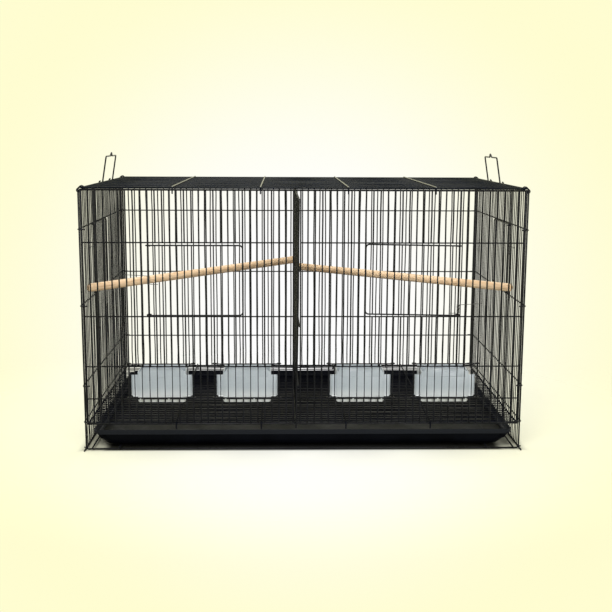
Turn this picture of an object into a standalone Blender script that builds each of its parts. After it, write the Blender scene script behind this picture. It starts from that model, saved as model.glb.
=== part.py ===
"""Knock-down wire breeding cage for small birds, built as separate parts in one frame.

The front faces -Y, X runs along the length and the feet stand on z = 0. Metres throughout.
"""

import math

import bmesh
import bpy
from mathutils import Matrix, Vector

# Overall size, between the centres of the corner wires.
CAGE_WIDTH = 0.762
CAGE_DEPTH = 0.457
FRONT_GAPS = 61
SIDE_GAPS = 37

# Heights of the front's long wires, stacked from the ground.
BOTTOM_RISE = 0.045
SILL_RISE = 0.045
FEED_RISE = 0.058
DOOR_SILL_RISE = 0.089
DOOR_RISE = 0.129
HEAD_RISE = 0.0902

# Heights of the side and back long wires, as shares of the front's height.
SIDE_ROWS = (0.1073, 0.2499, 0.5612, 0.8524)
DIVIDER_ROWS = (0.2499, 0.4824, 0.6967)

# Wire radii.
THIN = 0.0010
CROSS = 0.0012
EDGE = 0.0016
CORNER = 0.00125
FRAME = 0.0014
FEED_FRAME = 0.0012
CLIP = 0.0008
COIL = 0.0005
HANDLE = 0.0012

# Gaps and overlaps.
GAP = 0.0003
AIR = 0.0002
BITE = 0.0003

# Openings, counted in vertical wires out from the middle of the front.
DOOR_FREE = 8
DOOR_HINGE = 21
FEED_INNER = 3
FEED_OUTER = 12
FEED_STEP = 12
NEST_HINGE = 11
NEST_FREE = 23
SLOT_WIRES = (0, 1)

DOOR_HEAD_GAP = 0.003
DOOR_CORNER = 0.005
FEED_DOOR_RISE = 0.0045
FEED_DOOR_WIRES = 8
FEED_DOOR_SPAN = 0.0918

FOOT_OVERHANG = 0.0195
STUB = 0.010
HOOK_DROP = 0.012

TRAY_RISE = 0.006
TRAY_HEIGHT = 0.025
TRAY_WALL = 0.0012
TRAY_LIP = 0.0028
TRAY_BASE_INSET = 0.0235
TRAY_END_INSET = 0.005
TRAY_SIDE_INSET = 0.0125
RUNNER_INSETS = (0.009, 0.056)

PERCH_RADIUS = 0.0075
PERCH_POKE = 0.003
PERCH_SLOT = 0.0036
LEFT_PERCH_WIRE = 6
LEFT_PERCH_REACH = 0.170
LEFT_PERCH_SHARES = (0.6067, 0.6330)
RIGHT_PERCH_WIRE = 9
RIGHT_PERCH_REACH = 0.185
RIGHT_PERCH_SHARES = (0.5966, 0.5986)

CUP_WIDTH = 0.107
CUP_TUB_WIDTH = 0.084
CUP_TOP_WIDTH = 0.076
CUP_DEPTH = 0.056
CUP_WALL = 0.002
CUP_BELOW_SILL = 0.007
CUP_CHAMFER = 0.004
CUP_WING_RISE = 0.003
CUP_WING_STEP = 0.0018
CUP_ABOVE_SILL = 0.054
CUP_FINGER = 0.0035
CUP_FINGER_DROP = 0.0035

HANDLE_RISE = 0.050
HANDLE_PEAK = 0.007
HANDLE_LEAN = 9.5
HANDLE_WIRES = (15, 24)

COIL_TURNS = 6
NEST_COIL_TURNS = 6
COIL_PITCH = 0.0024
COIL_POINTS = 8
COIL_ARM = 0.0415
COIL_TAIL = 0.0065

# Values worked out from the sizes above.
PITCH = CAGE_WIDTH / FRONT_GAPS
SIDE_PITCH = CAGE_DEPTH / SIDE_GAPS
BOTTOM = BOTTOM_RISE
SILL = BOTTOM + SILL_RISE
FEED_TOP = SILL + FEED_RISE
DOOR_SILL = FEED_TOP + DOOR_SILL_RISE
DOOR_HEAD = DOOR_SILL + DOOR_RISE
FRONT_TOP = DOOR_HEAD + HEAD_RISE
ROOF_CORNER = 0.0014
ROOF_Z = FRONT_TOP + EDGE + GAP + ROOF_CORNER
SIDE_EDGE = 0.0015
SIDE_TOP = FRONT_TOP - 0.0012
PIN = THIN + AIR + 0.0002
ROOF_PIN = 0.0013
ROW_OFFSET = THIN + AIR + CROSS
CUT_OFFSET = AIR + BITE
CORNER_OFFSET = THIN + AIR + 0.0002 - CORNER
FRONT_Y = -CAGE_DEPTH / 2
END_X = CAGE_WIDTH / 2
RAIL_END = END_X + CORNER + 0.00015
SIDE_X = RAIL_END + 0.0004 + SIDE_EDGE
ROOF_END_X = SIDE_X - 0.0048
FOOT_Z = SIDE_EDGE
HALF_STEP = math.radians(15)
EYE = (PIN + GAP + FRAME) / math.cos(HALF_STEP)
FEED_HALF_STEP = math.radians(22.5)
FEED_EYE = (THIN * math.sqrt(2) + GAP + FEED_FRAME) / math.cos(FEED_HALF_STEP)
HOOK_Y = FRONT_Y - EDGE - 0.0006 - CROSS + 0.0001
FLOOR_CROSS_Z = BOTTOM + EDGE + 0.0004 + CROSS
FLOOR_Z = FLOOR_CROSS_Z - CROSS - AIR - THIN
FLOOR_CORNER_Z = FLOOR_CROSS_Z - CROSS + 0.0004 - ROOF_CORNER
FLOOR_Y = FRONT_Y + EDGE + GAP + ROOF_CORNER
CROSS_XS = (-18 * PITCH, -6 * PITCH, 6 * PITCH, 18 * PITCH)
DIVIDER_X = -PITCH - 0.0011
COIL_RADIUS = (PIN + GAP + COIL) / math.cos(math.pi / COIL_POINTS) + 0.00005

COLLECTION = "bird_cage"
HELPERS = "bird_cage_helpers"


def clear_scene():
    """Removes every object of the opening scene."""
    for obj in list(bpy.data.objects):
        bpy.data.objects.remove(obj, do_unlink=True)


def collection(name, hidden=False):
    """Returns the named collection, linked to the scene."""
    found = bpy.data.collections.get(name)
    if found is None:
        found = bpy.data.collections.new(name)
        bpy.context.scene.collection.children.link(found)
        found.hide_render = hidden
    return found


def material(name, colour, roughness, metallic=0.0):
    """Returns a Principled material of one colour."""
    made = bpy.data.materials.new(name)
    made.use_nodes = True
    shader = made.node_tree.nodes["Principled BSDF"]
    shader.inputs["Base Color"].default_value = (*colour, 1.0)
    shader.inputs["Roughness"].default_value = roughness
    shader.inputs["Metallic"].default_value = metallic
    made.diffuse_color = (*colour, 1.0)
    return made


def black_wire(name):
    """The satin black coating of the wires."""
    return material(name + "_coating", (0.018, 0.018, 0.020), 0.42)


def box(bm, low, high):
    """Adds a closed box between two corners."""
    size = [b - a for a, b in zip(low, high)]
    centre = [(a + b) / 2 for a, b in zip(low, high)]
    matrix = Matrix.Translation(centre) @ Matrix.Diagonal((*size, 1.0))
    return bmesh.ops.create_cube(bm, size=1.0, matrix=matrix)["verts"]


def bar(bm, a, b, radius):
    """Adds a square wire between two points that differ along one axis."""
    grow = [radius if abs(p - q) < 1e-7 else 0.0 for p, q in zip(a, b)]
    low = [min(p, q) - g for p, q, g in zip(a, b, grow)]
    high = [max(p, q) + g for p, q, g in zip(a, b, grow)]
    return box(bm, low, high)


def rod(bm, a, b, radius, sides=8):
    """Adds a closed prism of the given number of sides between two points."""
    a = Vector(a)
    b = Vector(b)
    turn = (b - a).to_track_quat("Z", "Y").to_matrix().to_4x4()
    matrix = Matrix.Translation((a + b) / 2) @ turn
    bmesh.ops.create_cone(
        bm, cap_ends=True, segments=sides, radius1=radius, radius2=radius,
        depth=(b - a).length, matrix=matrix)


def tube(bm, points, radius, sides=4, cyclic=False):
    """Adds a bent wire, swept along the points and closed at its ends."""
    curve = bpy.data.curves.new("bent_wire", "CURVE")
    curve.dimensions = "3D"
    curve.bevel_depth = radius
    curve.bevel_resolution = (sides - 4) // 2
    curve.use_fill_caps = not cyclic
    spline = curve.splines.new("POLY")
    spline.points.add(len(points) - 1)
    for point, place in zip(spline.points, points):
        point.co = (*place, 1.0)
    spline.use_cyclic_u = cyclic
    obj = bpy.data.objects.new("bent_wire", curve)
    bpy.context.scene.collection.objects.link(obj)
    graph = bpy.context.evaluated_depsgraph_get()
    mesh = bpy.data.meshes.new_from_object(obj.evaluated_get(graph))
    bpy.data.objects.remove(obj, do_unlink=True)
    bpy.data.curves.remove(curve)
    swept = bmesh.new()
    swept.from_mesh(mesh)
    bmesh.ops.remove_doubles(swept, verts=swept.verts, dist=1e-6)
    bmesh.ops.recalc_face_normals(swept, faces=swept.faces)
    swept.to_mesh(mesh)
    swept.free()
    bm.from_mesh(mesh)
    bpy.data.meshes.remove(mesh)


def solid(name, bm, finish, origin=(0.0, 0.0, 0.0), smooth=False):
    """Makes a named part from the mesh, with its origin at the given point."""
    bmesh.ops.translate(bm, verts=bm.verts, vec=-Vector(origin))
    mesh = bpy.data.meshes.new(name)
    bm.to_mesh(mesh)
    bm.free()
    mesh.materials.append(finish)
    for face in mesh.polygons:
        face.use_smooth = smooth
    obj = bpy.data.objects.new(name, mesh)
    obj.location = origin
    collection(COLLECTION).objects.link(obj)
    return obj


def helper(name, bm):
    """Makes a hidden mesh that a Boolean joins or cuts with."""
    mesh = bpy.data.meshes.new(name)
    bm.to_mesh(mesh)
    bm.free()
    obj = bpy.data.objects.new(name, mesh)
    obj.hide_render = True
    obj.display_type = "WIRE"
    collection(HELPERS, hidden=True).objects.link(obj)
    return obj


def combine(obj, other, operation):
    """Adds an exact Boolean of the other object."""
    step = obj.modifiers.new(operation.lower(), "BOOLEAN")
    step.operation = operation
    step.solver = "EXACT"
    step.object = other


def front_x(wire, side):
    """X of a vertical wire of the front, counted out from the middle."""
    return side * (wire + 0.5) * PITCH


def side_y(wire):
    """Y of a vertical wire of a side, counted from the front."""
    return FRONT_Y + wire * SIDE_PITCH


def row_height(share):
    """Height of a long wire given as a share of the front's height."""
    return share * FRONT_TOP


def feed_banks():
    """First and last vertical wire beside each feeding opening on one side."""
    width = FEED_OUTER - FEED_INNER
    return [(FEED_INNER, FEED_OUTER), (FEED_INNER + FEED_STEP, FEED_INNER + FEED_STEP + width)]


def front_spans(wire):
    """Bottom and top of each piece of one vertical front wire."""
    cuts = []
    if any(first < wire < last for first, last in feed_banks()):
        cuts.append((SILL + 0.7 * CROSS, FEED_TOP - 0.7 * CROSS))
    if DOOR_FREE < wire < DOOR_HINGE:
        cuts.append((DOOR_SILL + 0.7 * CROSS, DOOR_HEAD - 0.7 * CROSS))
    spans = []
    low = BOTTOM
    for start, end in cuts:
        spans.append((low, start))
        low = end
    spans.append((low, FRONT_TOP))
    return spans


def front_panel():
    """Front grille with its door, feeding and divider openings."""
    uprights = bmesh.new()
    last = FRONT_GAPS // 2
    for side in (-1, 1):
        for wire in range(last):
            x = front_x(wire, side)
            beside_slot = side < 0 and wire in SLOT_WIRES
            for low, high in front_spans(wire):
                between = low > BOTTOM and high < FRONT_TOP
                y = FRONT_Y + (CUT_OFFSET if between or beside_slot else 0.0)
                if wire == DOOR_HINGE and high > DOOR_HEAD:
                    rod(uprights, (x, FRONT_Y, low), (x, FRONT_Y, high), PIN)
                else:
                    bar(uprights, (x, y, low), (x, y, high), THIN)
        x = side * END_X
        y = FRONT_Y + CORNER_OFFSET
        bar(uprights, (x, y, BOTTOM), (x, y, FRONT_TOP), CORNER)
    rows = bmesh.new()
    for z in (BOTTOM, FRONT_TOP):
        bar(rows, (-RAIL_END, FRONT_Y, z), (RAIL_END, FRONT_Y, z), EDGE)
    y = FRONT_Y + ROW_OFFSET
    end = END_X + 0.6 * CORNER
    left = front_x(SLOT_WIRES[1], -1) + 0.6 * THIN
    right = front_x(SLOT_WIRES[0], -1) - 0.6 * THIN
    for z in (SILL, FEED_TOP, DOOR_SILL, DOOR_HEAD):
        bar(rows, (-end, y, z), (left, y, z), CROSS)
        bar(rows, (right, y, z), (end, y, z), CROSS)
    obj = solid("front_panel", uprights, black_wire("front_panel"))
    combine(obj, helper("front_panel_rows", rows), "UNION")


def back_panel():
    """Plain back grille."""
    uprights = bmesh.new()
    for side in (-1, 1):
        for wire in range(FRONT_GAPS // 2):
            x = front_x(wire, side)
            bar(uprights, (x, -FRONT_Y, BOTTOM), (x, -FRONT_Y, FRONT_TOP), THIN)
        x = side * END_X
        y = -FRONT_Y - CORNER_OFFSET
        bar(uprights, (x, y, BOTTOM), (x, y, FRONT_TOP), CORNER)
    rows = bmesh.new()
    for z in (BOTTOM, FRONT_TOP):
        bar(rows, (-RAIL_END, -FRONT_Y, z), (RAIL_END, -FRONT_Y, z), EDGE)
    y = -FRONT_Y - ROW_OFFSET
    end = END_X + 0.6 * CORNER
    for share in SIDE_ROWS[1:]:
        z = row_height(share)
        bar(rows, (-end, y, z), (end, y, z), CROSS)
    obj = solid("back_panel", uprights, black_wire("back_panel"))
    combine(obj, helper("back_panel_rows", rows), "UNION")


def side_panel(name, side):
    """Side grille with its foot wire, nest opening and hooked long wires."""
    uprights = bmesh.new()
    nest_low = row_height(SIDE_ROWS[2]) + 0.7 * CROSS
    nest_high = row_height(SIDE_ROWS[3]) - 0.7 * CROSS
    for wire in range(1, SIDE_GAPS):
        y = side_y(wire)
        x = side * SIDE_X
        if wire == NEST_HINGE:
            rod(uprights, (x, y, FOOT_Z), (x, y, SIDE_TOP), PIN)
        elif NEST_HINGE < wire < NEST_FREE:
            bar(uprights, (x, y, FOOT_Z), (x, y, nest_low), THIN)
            bar(uprights, (x, y, nest_high), (x, y, SIDE_TOP), THIN)
        else:
            bar(uprights, (x, y, FOOT_Z), (x, y, SIDE_TOP), THIN)
    rows = bmesh.new()
    foot = -FRONT_Y + FOOT_OVERHANG
    bar(rows, (side * SIDE_X, -foot, FOOT_Z), (side * SIDE_X, foot, FOOT_Z), SIDE_EDGE)
    top = -FRONT_Y + SIDE_EDGE + 0.0005
    bar(rows, (side * SIDE_X, -top, SIDE_TOP), (side * SIDE_X, top, SIDE_TOP), SIDE_EDGE)
    row_x = side * (SIDE_X + ROW_OFFSET)
    for share in SIDE_ROWS:
        z = row_height(share)
        bar(rows, (row_x, HOOK_Y - 0.0006, z), (row_x, -HOOK_Y + 0.0006, z), CROSS)
    for end in (-1, 1):
        x = side * (SIDE_X + CORNER_OFFSET)
        y = -end * FRONT_Y
        bar(uprights, (x, y, FOOT_Z), (x, y, SIDE_TOP), CORNER)
        y = -end * HOOK_Y
        for share in SIDE_ROWS:
            z = row_height(share)
            inner = side * (SIDE_X - STUB)
            outer = side * (SIDE_X + ROW_OFFSET + 0.0006)
            bar(uprights, (inner, y, z), (outer, y, z), CROSS - 0.0001)
    obj = solid(name, uprights, black_wire(name))
    combine(obj, helper(name + "_rows", rows), "UNION")


def roof_panel():
    """Roof grille, hooked over the front and back and carrying the handles."""
    long_wires = bmesh.new()
    for wire in range(1, SIDE_GAPS):
        y = side_y(wire)
        bar(long_wires, (-ROOF_END_X, y, ROOF_Z), (ROOF_END_X, y, ROOF_Z), 0.65 * ROOF_PIN)
    cross = bmesh.new()
    for side in (-1, 1):
        bar(long_wires, (-ROOF_END_X, side * FRONT_Y, ROOF_Z),
            (ROOF_END_X, side * FRONT_Y, ROOF_Z), ROOF_CORNER)
        end = -FRONT_Y + ROOF_CORNER + 0.0003
        x = side * ROOF_END_X
        rod(cross, (x, -end, ROOF_Z), (x, end, ROOF_Z), ROOF_PIN)
    z = ROOF_Z + THIN + AIR + CROSS
    for x in CROSS_XS:
        bar(cross, (x, HOOK_Y - 0.0006, z), (x, -HOOK_Y + 0.0006, z), CROSS)
        for y in (HOOK_Y, -HOOK_Y):
            low = ROOF_Z - HOOK_DROP
            bar(long_wires, (x, y, low), (x, y, z + 0.0006), CROSS - 0.0001)
    obj = solid("roof_panel", long_wires, black_wire("roof_panel"))
    combine(obj, helper("roof_panel_cross", cross), "UNION")


def floor_panel():
    """Floor grille, hooked over the bottom wires of the front and back."""
    long_wires = bmesh.new()
    end_x = END_X - CORNER - 0.0003
    count = SIDE_GAPS - 1
    for wire in range(1, count):
        y = FLOOR_Y + wire * (-2 * FLOOR_Y) / count
        bar(long_wires, (-end_x, y, FLOOR_Z), (end_x, y, FLOOR_Z), THIN)
    cross = bmesh.new()
    for side in (-1, 1):
        y = side * FLOOR_Y
        bar(long_wires, (-end_x, y, FLOOR_CORNER_Z), (end_x, y, FLOOR_CORNER_Z), ROOF_CORNER)
        x = side * end_x
        end = -FLOOR_Y + ROOF_CORNER - AIR
        rod(cross, (x, -end, FLOOR_Z), (x, end, FLOOR_Z), 1.5 * THIN)
    for x in CROSS_XS:
        z = FLOOR_CROSS_Z
        bar(cross, (x, HOOK_Y - 0.0006, z), (x, -HOOK_Y + 0.0006, z), CROSS)
        for y in (HOOK_Y, -HOOK_Y):
            low = FLOOR_CROSS_Z - HOOK_DROP
            bar(long_wires, (x, y, low), (x, y, z + 0.0006), CROSS - 0.0001)
    obj = solid("floor_panel", long_wires, black_wire("floor_panel"))
    combine(obj, helper("floor_panel_cross", cross), "UNION")


def base_frame():
    """Ground frame between the feet, with the runners that carry the tray."""
    rails = bmesh.new()
    risers = bmesh.new()
    rail_y = FRONT_Y - SIDE_EDGE - 0.005
    over_z = 2 * FOOT_Z + GAP + CROSS
    for end in (-1, 1):
        y = -end * rail_y
        reach = SIDE_X - SIDE_EDGE - 0.0004
        bar(rails, (-reach, y, FOOT_Z), (reach, y, FOOT_Z), SIDE_EDGE)
        for side in (-1, 1):
            x = side * (reach - CROSS - 0.0003)
            bar(risers, (x, y, FOOT_Z), (x, y, over_z + 0.0005), CROSS)
            outer = side * (SIDE_X + SIDE_EDGE + 0.001)
            bar(rails, (x - side * 0.0006, y, over_z), (outer, y, over_z), CROSS - 0.0001)
    runner_z = TRAY_RISE - GAP - SIDE_EDGE
    for side in (-1, 1):
        for inset in RUNNER_INSETS:
            x = side * (END_X - inset)
            end = -rail_y + SIDE_EDGE + 0.006
            bar(risers, (x, -end, runner_z), (x, end, runner_z), SIDE_EDGE - 0.0001)
    obj = solid("base_frame", rails, black_wire("base_frame"))
    combine(obj, helper("base_frame_risers", risers), "UNION")


def tray():
    """Pull-out tray with flared walls and a turned-out lip."""
    front = FRONT_Y - 0.0035 - TRAY_LIP
    back = -FRONT_Y - 0.0065
    top_x = END_X - TRAY_SIDE_INSET
    bm = bmesh.new()
    middle_y = (front + back) / 2
    half_y = (back - front) / 2
    box(bm, (-top_x, front + TRAY_LIP, TRAY_RISE),
        (top_x, back - TRAY_LIP, TRAY_RISE + TRAY_HEIGHT))
    bend_z = TRAY_RISE + 0.68 * TRAY_HEIGHT
    bmesh.ops.bisect_plane(
        bm, geom=bm.verts[:] + bm.edges[:] + bm.faces[:],
        plane_co=(0.0, 0.0, bend_z), plane_no=(0.0, 0.0, 1.0))
    top_faces = [f for f in bm.faces if f.calc_center_median().z > TRAY_RISE + 0.99 * TRAY_HEIGHT]
    bmesh.ops.delete(bm, geom=top_faces, context="FACES_ONLY")
    bent_x = top_x - 0.004
    for vert in bm.verts:
        away = vert.co.y - middle_y
        if vert.co.z < TRAY_RISE + 0.001:
            vert.co.x *= (END_X - TRAY_BASE_INSET - TRAY_SIDE_INSET) / top_x
            vert.co.y = middle_y + away * (half_y - TRAY_LIP - TRAY_END_INSET) / (half_y - TRAY_LIP)
        elif vert.co.z < bend_z + 0.001:
            vert.co.x *= bent_x / top_x
            vert.co.y = middle_y + away * (half_y - TRAY_LIP - 0.0008) / (half_y - TRAY_LIP)
    corners = [e for e in bm.edges if abs(e.verts[0].co.z - e.verts[1].co.z) > 0.3 * TRAY_HEIGHT]
    bmesh.ops.bevel(bm, geom=corners, offset=0.012, segments=2, profile=0.5, affect="EDGES")
    rim = [e for e in bm.edges if len(e.link_faces) == 1]
    grown = bmesh.ops.extrude_edge_only(bm, edges=rim)["geom"]
    for vert in [g for g in grown if isinstance(g, bmesh.types.BMVert)]:
        vert.co.x += math.copysign(TRAY_LIP, vert.co.x)
        vert.co.y += math.copysign(TRAY_LIP, vert.co.y - middle_y)
        vert.co.z += 0.0004
    bmesh.ops.recalc_face_normals(bm, faces=bm.faces)
    obj = solid("tray", bm, material("tray_plastic", (0.020, 0.020, 0.022), 0.45),
                origin=(0.0, 0.0, TRAY_RISE))
    thick = obj.modifiers.new("wall", "SOLIDIFY")
    thick.thickness = TRAY_WALL
    thick.offset = -1.0
    thick.use_even_offset = True


def eye_points(centre, away, radius, place, half_step=HALF_STEP):
    """Points of a wire wrapped three quarters round a pin, ending in front of it."""
    points = []
    for step in range(round(0.75 * math.pi / half_step), -1, -1):
        angle = 2 * half_step * step
        s = centre + away * radius * math.sin(angle)
        points.append(place(s, radius * math.cos(angle)))
    return points


def door_path(hinge, free, low, high, place):
    """Centre line of a swing door's one bent frame wire."""
    away = math.copysign(1.0, hinge - free)
    at_low = eye_points(hinge, away, EYE, lambda s, out: place(s, out, low))
    at_high = eye_points(hinge, away, EYE, lambda s, out: place(s, out, high))
    points = list(at_low)
    for middle_z, start in ((low + DOOR_CORNER, -90), (high - DOOR_CORNER, 0)):
        for step in range(4):
            angle = math.radians(start + 30 * step)
            s = free + away * DOOR_CORNER * (1 - math.cos(angle))
            points.append(place(s, EYE, middle_z + DOOR_CORNER * math.sin(angle)))
    points.extend(reversed(at_high))
    return points


def swing_door(name, hinge, free, low, high, inner, place):
    """Door of one bent frame wire with its eyes round the hinge wire."""
    frame = bmesh.new()
    tube(frame, door_path(hinge, free, low, high, place), FRAME)
    uprights = bmesh.new()
    for s in inner:
        bar(uprights, place(s, EYE, low), place(s, EYE, high), 0.85 * THIN)
    obj = solid(name, uprights, black_wire(name), origin=place(hinge, 0.0, low))
    combine(obj, helper(name + "_frame", frame), "UNION")


def on_front(s, out, z):
    """Point on the front grille, the given distance in front of its plane."""
    return (s, FRONT_Y - out, z)


def on_side(side):
    """Returns the same for one side grille."""
    return lambda s, out, z: (side * (SIDE_X + out), s, z)


def main_doors():
    """The two large doors of the front."""
    low = DOOR_SILL + CROSS + GAP + FRAME
    high = DOOR_HEAD - DOOR_HEAD_GAP - FRAME
    for name, side in (("left_main_door", -1), ("right_main_door", 1)):
        inner = [front_x(wire, side) for wire in range(DOOR_FREE + 1, DOOR_HINGE)]
        swing_door(name, front_x(DOOR_HINGE, side), front_x(DOOR_FREE, side),
                   low, high, inner, on_front)


def nest_doors():
    """The nest-box doors of the sides."""
    low = row_height(SIDE_ROWS[2]) + CROSS + GAP + FRAME
    high = row_height(SIDE_ROWS[3]) - CROSS - GAP - FRAME
    for name, side in (("left_nest_door", -1), ("right_nest_door", 1)):
        inner = [side_y(wire) for wire in range(NEST_HINGE + 1, NEST_FREE)]
        swing_door(name, side_y(NEST_HINGE), side_y(NEST_FREE), low, high, inner, on_side(side))


def least_gap(points, radius):
    """Least distance between the surfaces of turns that pass each other."""
    apart = COIL_POINTS - 2
    least = 1.0
    for first in range(len(points)):
        for second in range(first + apart, len(points)):
            distance = (Vector(points[first]) - Vector(points[second])).length
            least = min(least, distance - 2 * radius)
    return least


def coil_spring(name, hinge, away, low, turns, place):
    """Torsion spring round a hinge wire, one unbroken tube with two arms."""
    points = [place(hinge - away * COIL_TAIL, COIL_RADIUS, low)]
    coil = []
    for step in range(turns * COIL_POINTS + 1):
        angle = 2 * math.pi * step / COIL_POINTS
        z = low + COIL_PITCH * step / COIL_POINTS
        s = hinge + away * COIL_RADIUS * math.sin(angle)
        coil.append(place(s, COIL_RADIUS * math.cos(angle), z))
    points.extend(coil)
    high = low + COIL_PITCH * turns
    points.append(place(hinge + away * (COIL_ARM - 0.001), COIL_RADIUS, high + 0.002))
    points.append(place(hinge + away * COIL_ARM, COIL_RADIUS - 0.001, high + 0.002))
    points.append(place(hinge + away * COIL_ARM, -0.001, high + 0.002))
    print(f"{name}: least gap between turns {1000 * least_gap(coil, COIL):.2f} mm")
    bm = bmesh.new()
    tube(bm, points, COIL, sides=6)
    steel = material(name + "_steel", (0.05, 0.05, 0.05), 0.35, 0.6)
    solid(name, bm, steel, origin=place(hinge, 0.0, low), smooth=True)


def springs():
    """The closing springs of the four swing doors."""
    opening = DOOR_HEAD - DOOR_SILL
    low = DOOR_SILL + 0.445 * opening
    coil_spring("left_door_spring", front_x(DOOR_HINGE, -1), -1, low, COIL_TURNS, on_front)
    low = DOOR_SILL + 0.055 * opening
    coil_spring("right_door_spring", front_x(DOOR_HINGE, 1), 1, low, COIL_TURNS, on_front)
    rows = [row_height(share) for share in SIDE_ROWS]
    low = rows[2] + 0.565 * (rows[3] - rows[2])
    for name, side in (("left_nest_spring", -1), ("right_nest_spring", 1)):
        coil_spring(name, side_y(NEST_HINGE), -1, low, NEST_COIL_TURNS, on_side(side))


def feeder_doors():
    """The four lift-up feeding doors, each sliding on two front wires."""
    low = SILL + CROSS + GAP + FEED_FRAME
    high = FEED_TOP + FEED_DOOR_RISE + FEED_FRAME
    banks = feed_banks()
    places = [(-1, 1), (-1, 0), (1, 0), (1, 1)]
    for number, (side, bank) in enumerate(places, 1):
        first, last = (front_x(wire, side) for wire in banks[bank])
        left, right = min(first, last), max(first, last)
        frame = bmesh.new()
        for z in (low, high):
            def at_height(s, out):
                return on_front(s, out, z)

            start = eye_points(left, -1, FEED_EYE, at_height, FEED_HALF_STEP)
            end = eye_points(right, 1, FEED_EYE, at_height, FEED_HALF_STEP)
            tube(frame, start + end[::-1], FEED_FRAME)
        uprights = bmesh.new()
        middle = (left + right) / 2
        for wire in range(FEED_DOOR_WIRES):
            x = middle + FEED_DOOR_SPAN * (wire / (FEED_DOOR_WIRES - 1) - 0.5)
            bar(uprights, on_front(x, FEED_EYE, low), on_front(x, FEED_EYE, high), 0.75 * THIN)
        name = f"feeder_door_{number}"
        obj = solid(name, uprights, black_wire(name), origin=(middle, FRONT_Y, low))
        combine(obj, helper(name + "_frame", frame), "UNION")


def chamfer(bm, verts, test, offset):
    """Chamfers the edges along Y of a box whose middle passes the test."""
    edges = {e for v in verts for e in v.link_edges}
    chosen = []
    for edge in edges:
        a, b = (v.co for v in edge.verts)
        along_y = abs(a.x - b.x) < 1e-7 and abs(a.z - b.z) < 1e-7
        if along_y and test((a + b) / 2):
            chosen.append(edge)
    bmesh.ops.bevel(bm, geom=chosen, offset=offset, segments=1, affect="EDGES")


def feed_cups():
    """The four plastic cups, hung inside on the sill wire behind the doors."""
    face = FRONT_Y + ROW_OFFSET + CROSS + 0.0011
    low = SILL - CUP_BELOW_SILL
    high = SILL + CUP_ABOVE_SILL
    banks = feed_banks()
    places = [(-1, 1), (-1, 0), (1, 0), (1, 1)]
    for number, (side, bank) in enumerate(places, 1):
        name = f"feed_cup_{number}"
        first, last = banks[bank]
        middle = side * (first + last + 1) / 2 * PITCH
        back = face + CUP_DEPTH
        half = CUP_TUB_WIDTH / 2
        wall = CUP_WALL
        body = bmesh.new()
        tub = box(body, (middle - half, face + 0.0004, low), (middle + half, back, high - 0.006))
        bottom = [e for e in {e for v in tub for e in v.link_edges}
                  if max(v.co.z for v in e.verts) < low + 1e-5]
        bmesh.ops.bevel(body, geom=bottom, offset=CUP_CHAMFER, segments=1, affect="EDGES")
        plates = bmesh.new()
        wing = CUP_WIDTH / 2
        wing_face = face + CUP_WING_STEP
        verts = box(plates, (middle - wing, wing_face, SILL + CUP_WING_RISE),
                    (middle + wing, wing_face + wall, high - 0.012))
        chamfer(plates, verts, lambda p: p.z < SILL + 0.01, 0.003)
        brow = bmesh.new()
        half_top = CUP_TOP_WIDTH / 2
        verts = box(brow, (middle - half_top, face + 0.0002, high - 0.016),
                    (middle + half_top, face + wall + 0.0003, high))
        chamfer(brow, verts, lambda p: p.z > high - 0.004, 0.005)
        hooks = bmesh.new()
        finger_top = SILL + CROSS + GAP + 0.0014
        drop_y = FRONT_Y + THIN + AIR - GAP - 0.0013
        for hand in (-1, 1):
            gap_number = round(first + (last - first) / 2) + (2 if hand > 0 else -2)
            x = side * (gap_number + 1) * PITCH
            reach = CUP_FINGER / 2
            box(hooks, (x - reach, drop_y, finger_top - 0.0014),
                (x + reach, face + 0.001, finger_top))
        drops = bmesh.new()
        for hand in (-1, 1):
            gap_number = round(first + (last - first) / 2) + (2 if hand > 0 else -2)
            x = side * (gap_number + 1) * PITCH
            reach = CUP_FINGER / 2 - 0.0002
            box(drops, (x - reach, drop_y + 0.0001, SILL - CUP_FINGER_DROP),
                (x + reach, drop_y + 0.0013, finger_top - 0.0002))
        inside = bmesh.new()
        room = box(inside, (middle - half + wall, face + wall + 0.0008, low + wall),
                   (middle + half - wall, back - wall, high + 0.01))
        bottom = [e for e in {e for v in room for e in v.link_edges}
                  if max(v.co.z for v in e.verts) < low + wall + 1e-5]
        bmesh.ops.bevel(inside, geom=bottom, offset=CUP_CHAMFER - 0.0012, segments=1,
                        affect="EDGES")
        recess = bmesh.new()
        box(recess, (middle - 0.0185, face - 0.002, high - 0.014),
            (middle + 0.0185, face + 0.0008, high + 0.002))
        plastic = material(name + "_plastic", (0.68, 0.72, 0.72), 0.35)
        obj = solid(name, body, plastic, origin=(middle, face, SILL))
        combine(obj, helper(name + "_wings", plates), "UNION")
        combine(obj, helper(name + "_brow", brow), "UNION")
        combine(obj, helper(name + "_inside", inside), "DIFFERENCE")
        combine(obj, helper(name + "_recess", recess), "DIFFERENCE")
        combine(obj, helper(name + "_hooks", hooks), "UNION")
        combine(obj, helper(name + "_drops", drops), "UNION")


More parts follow.
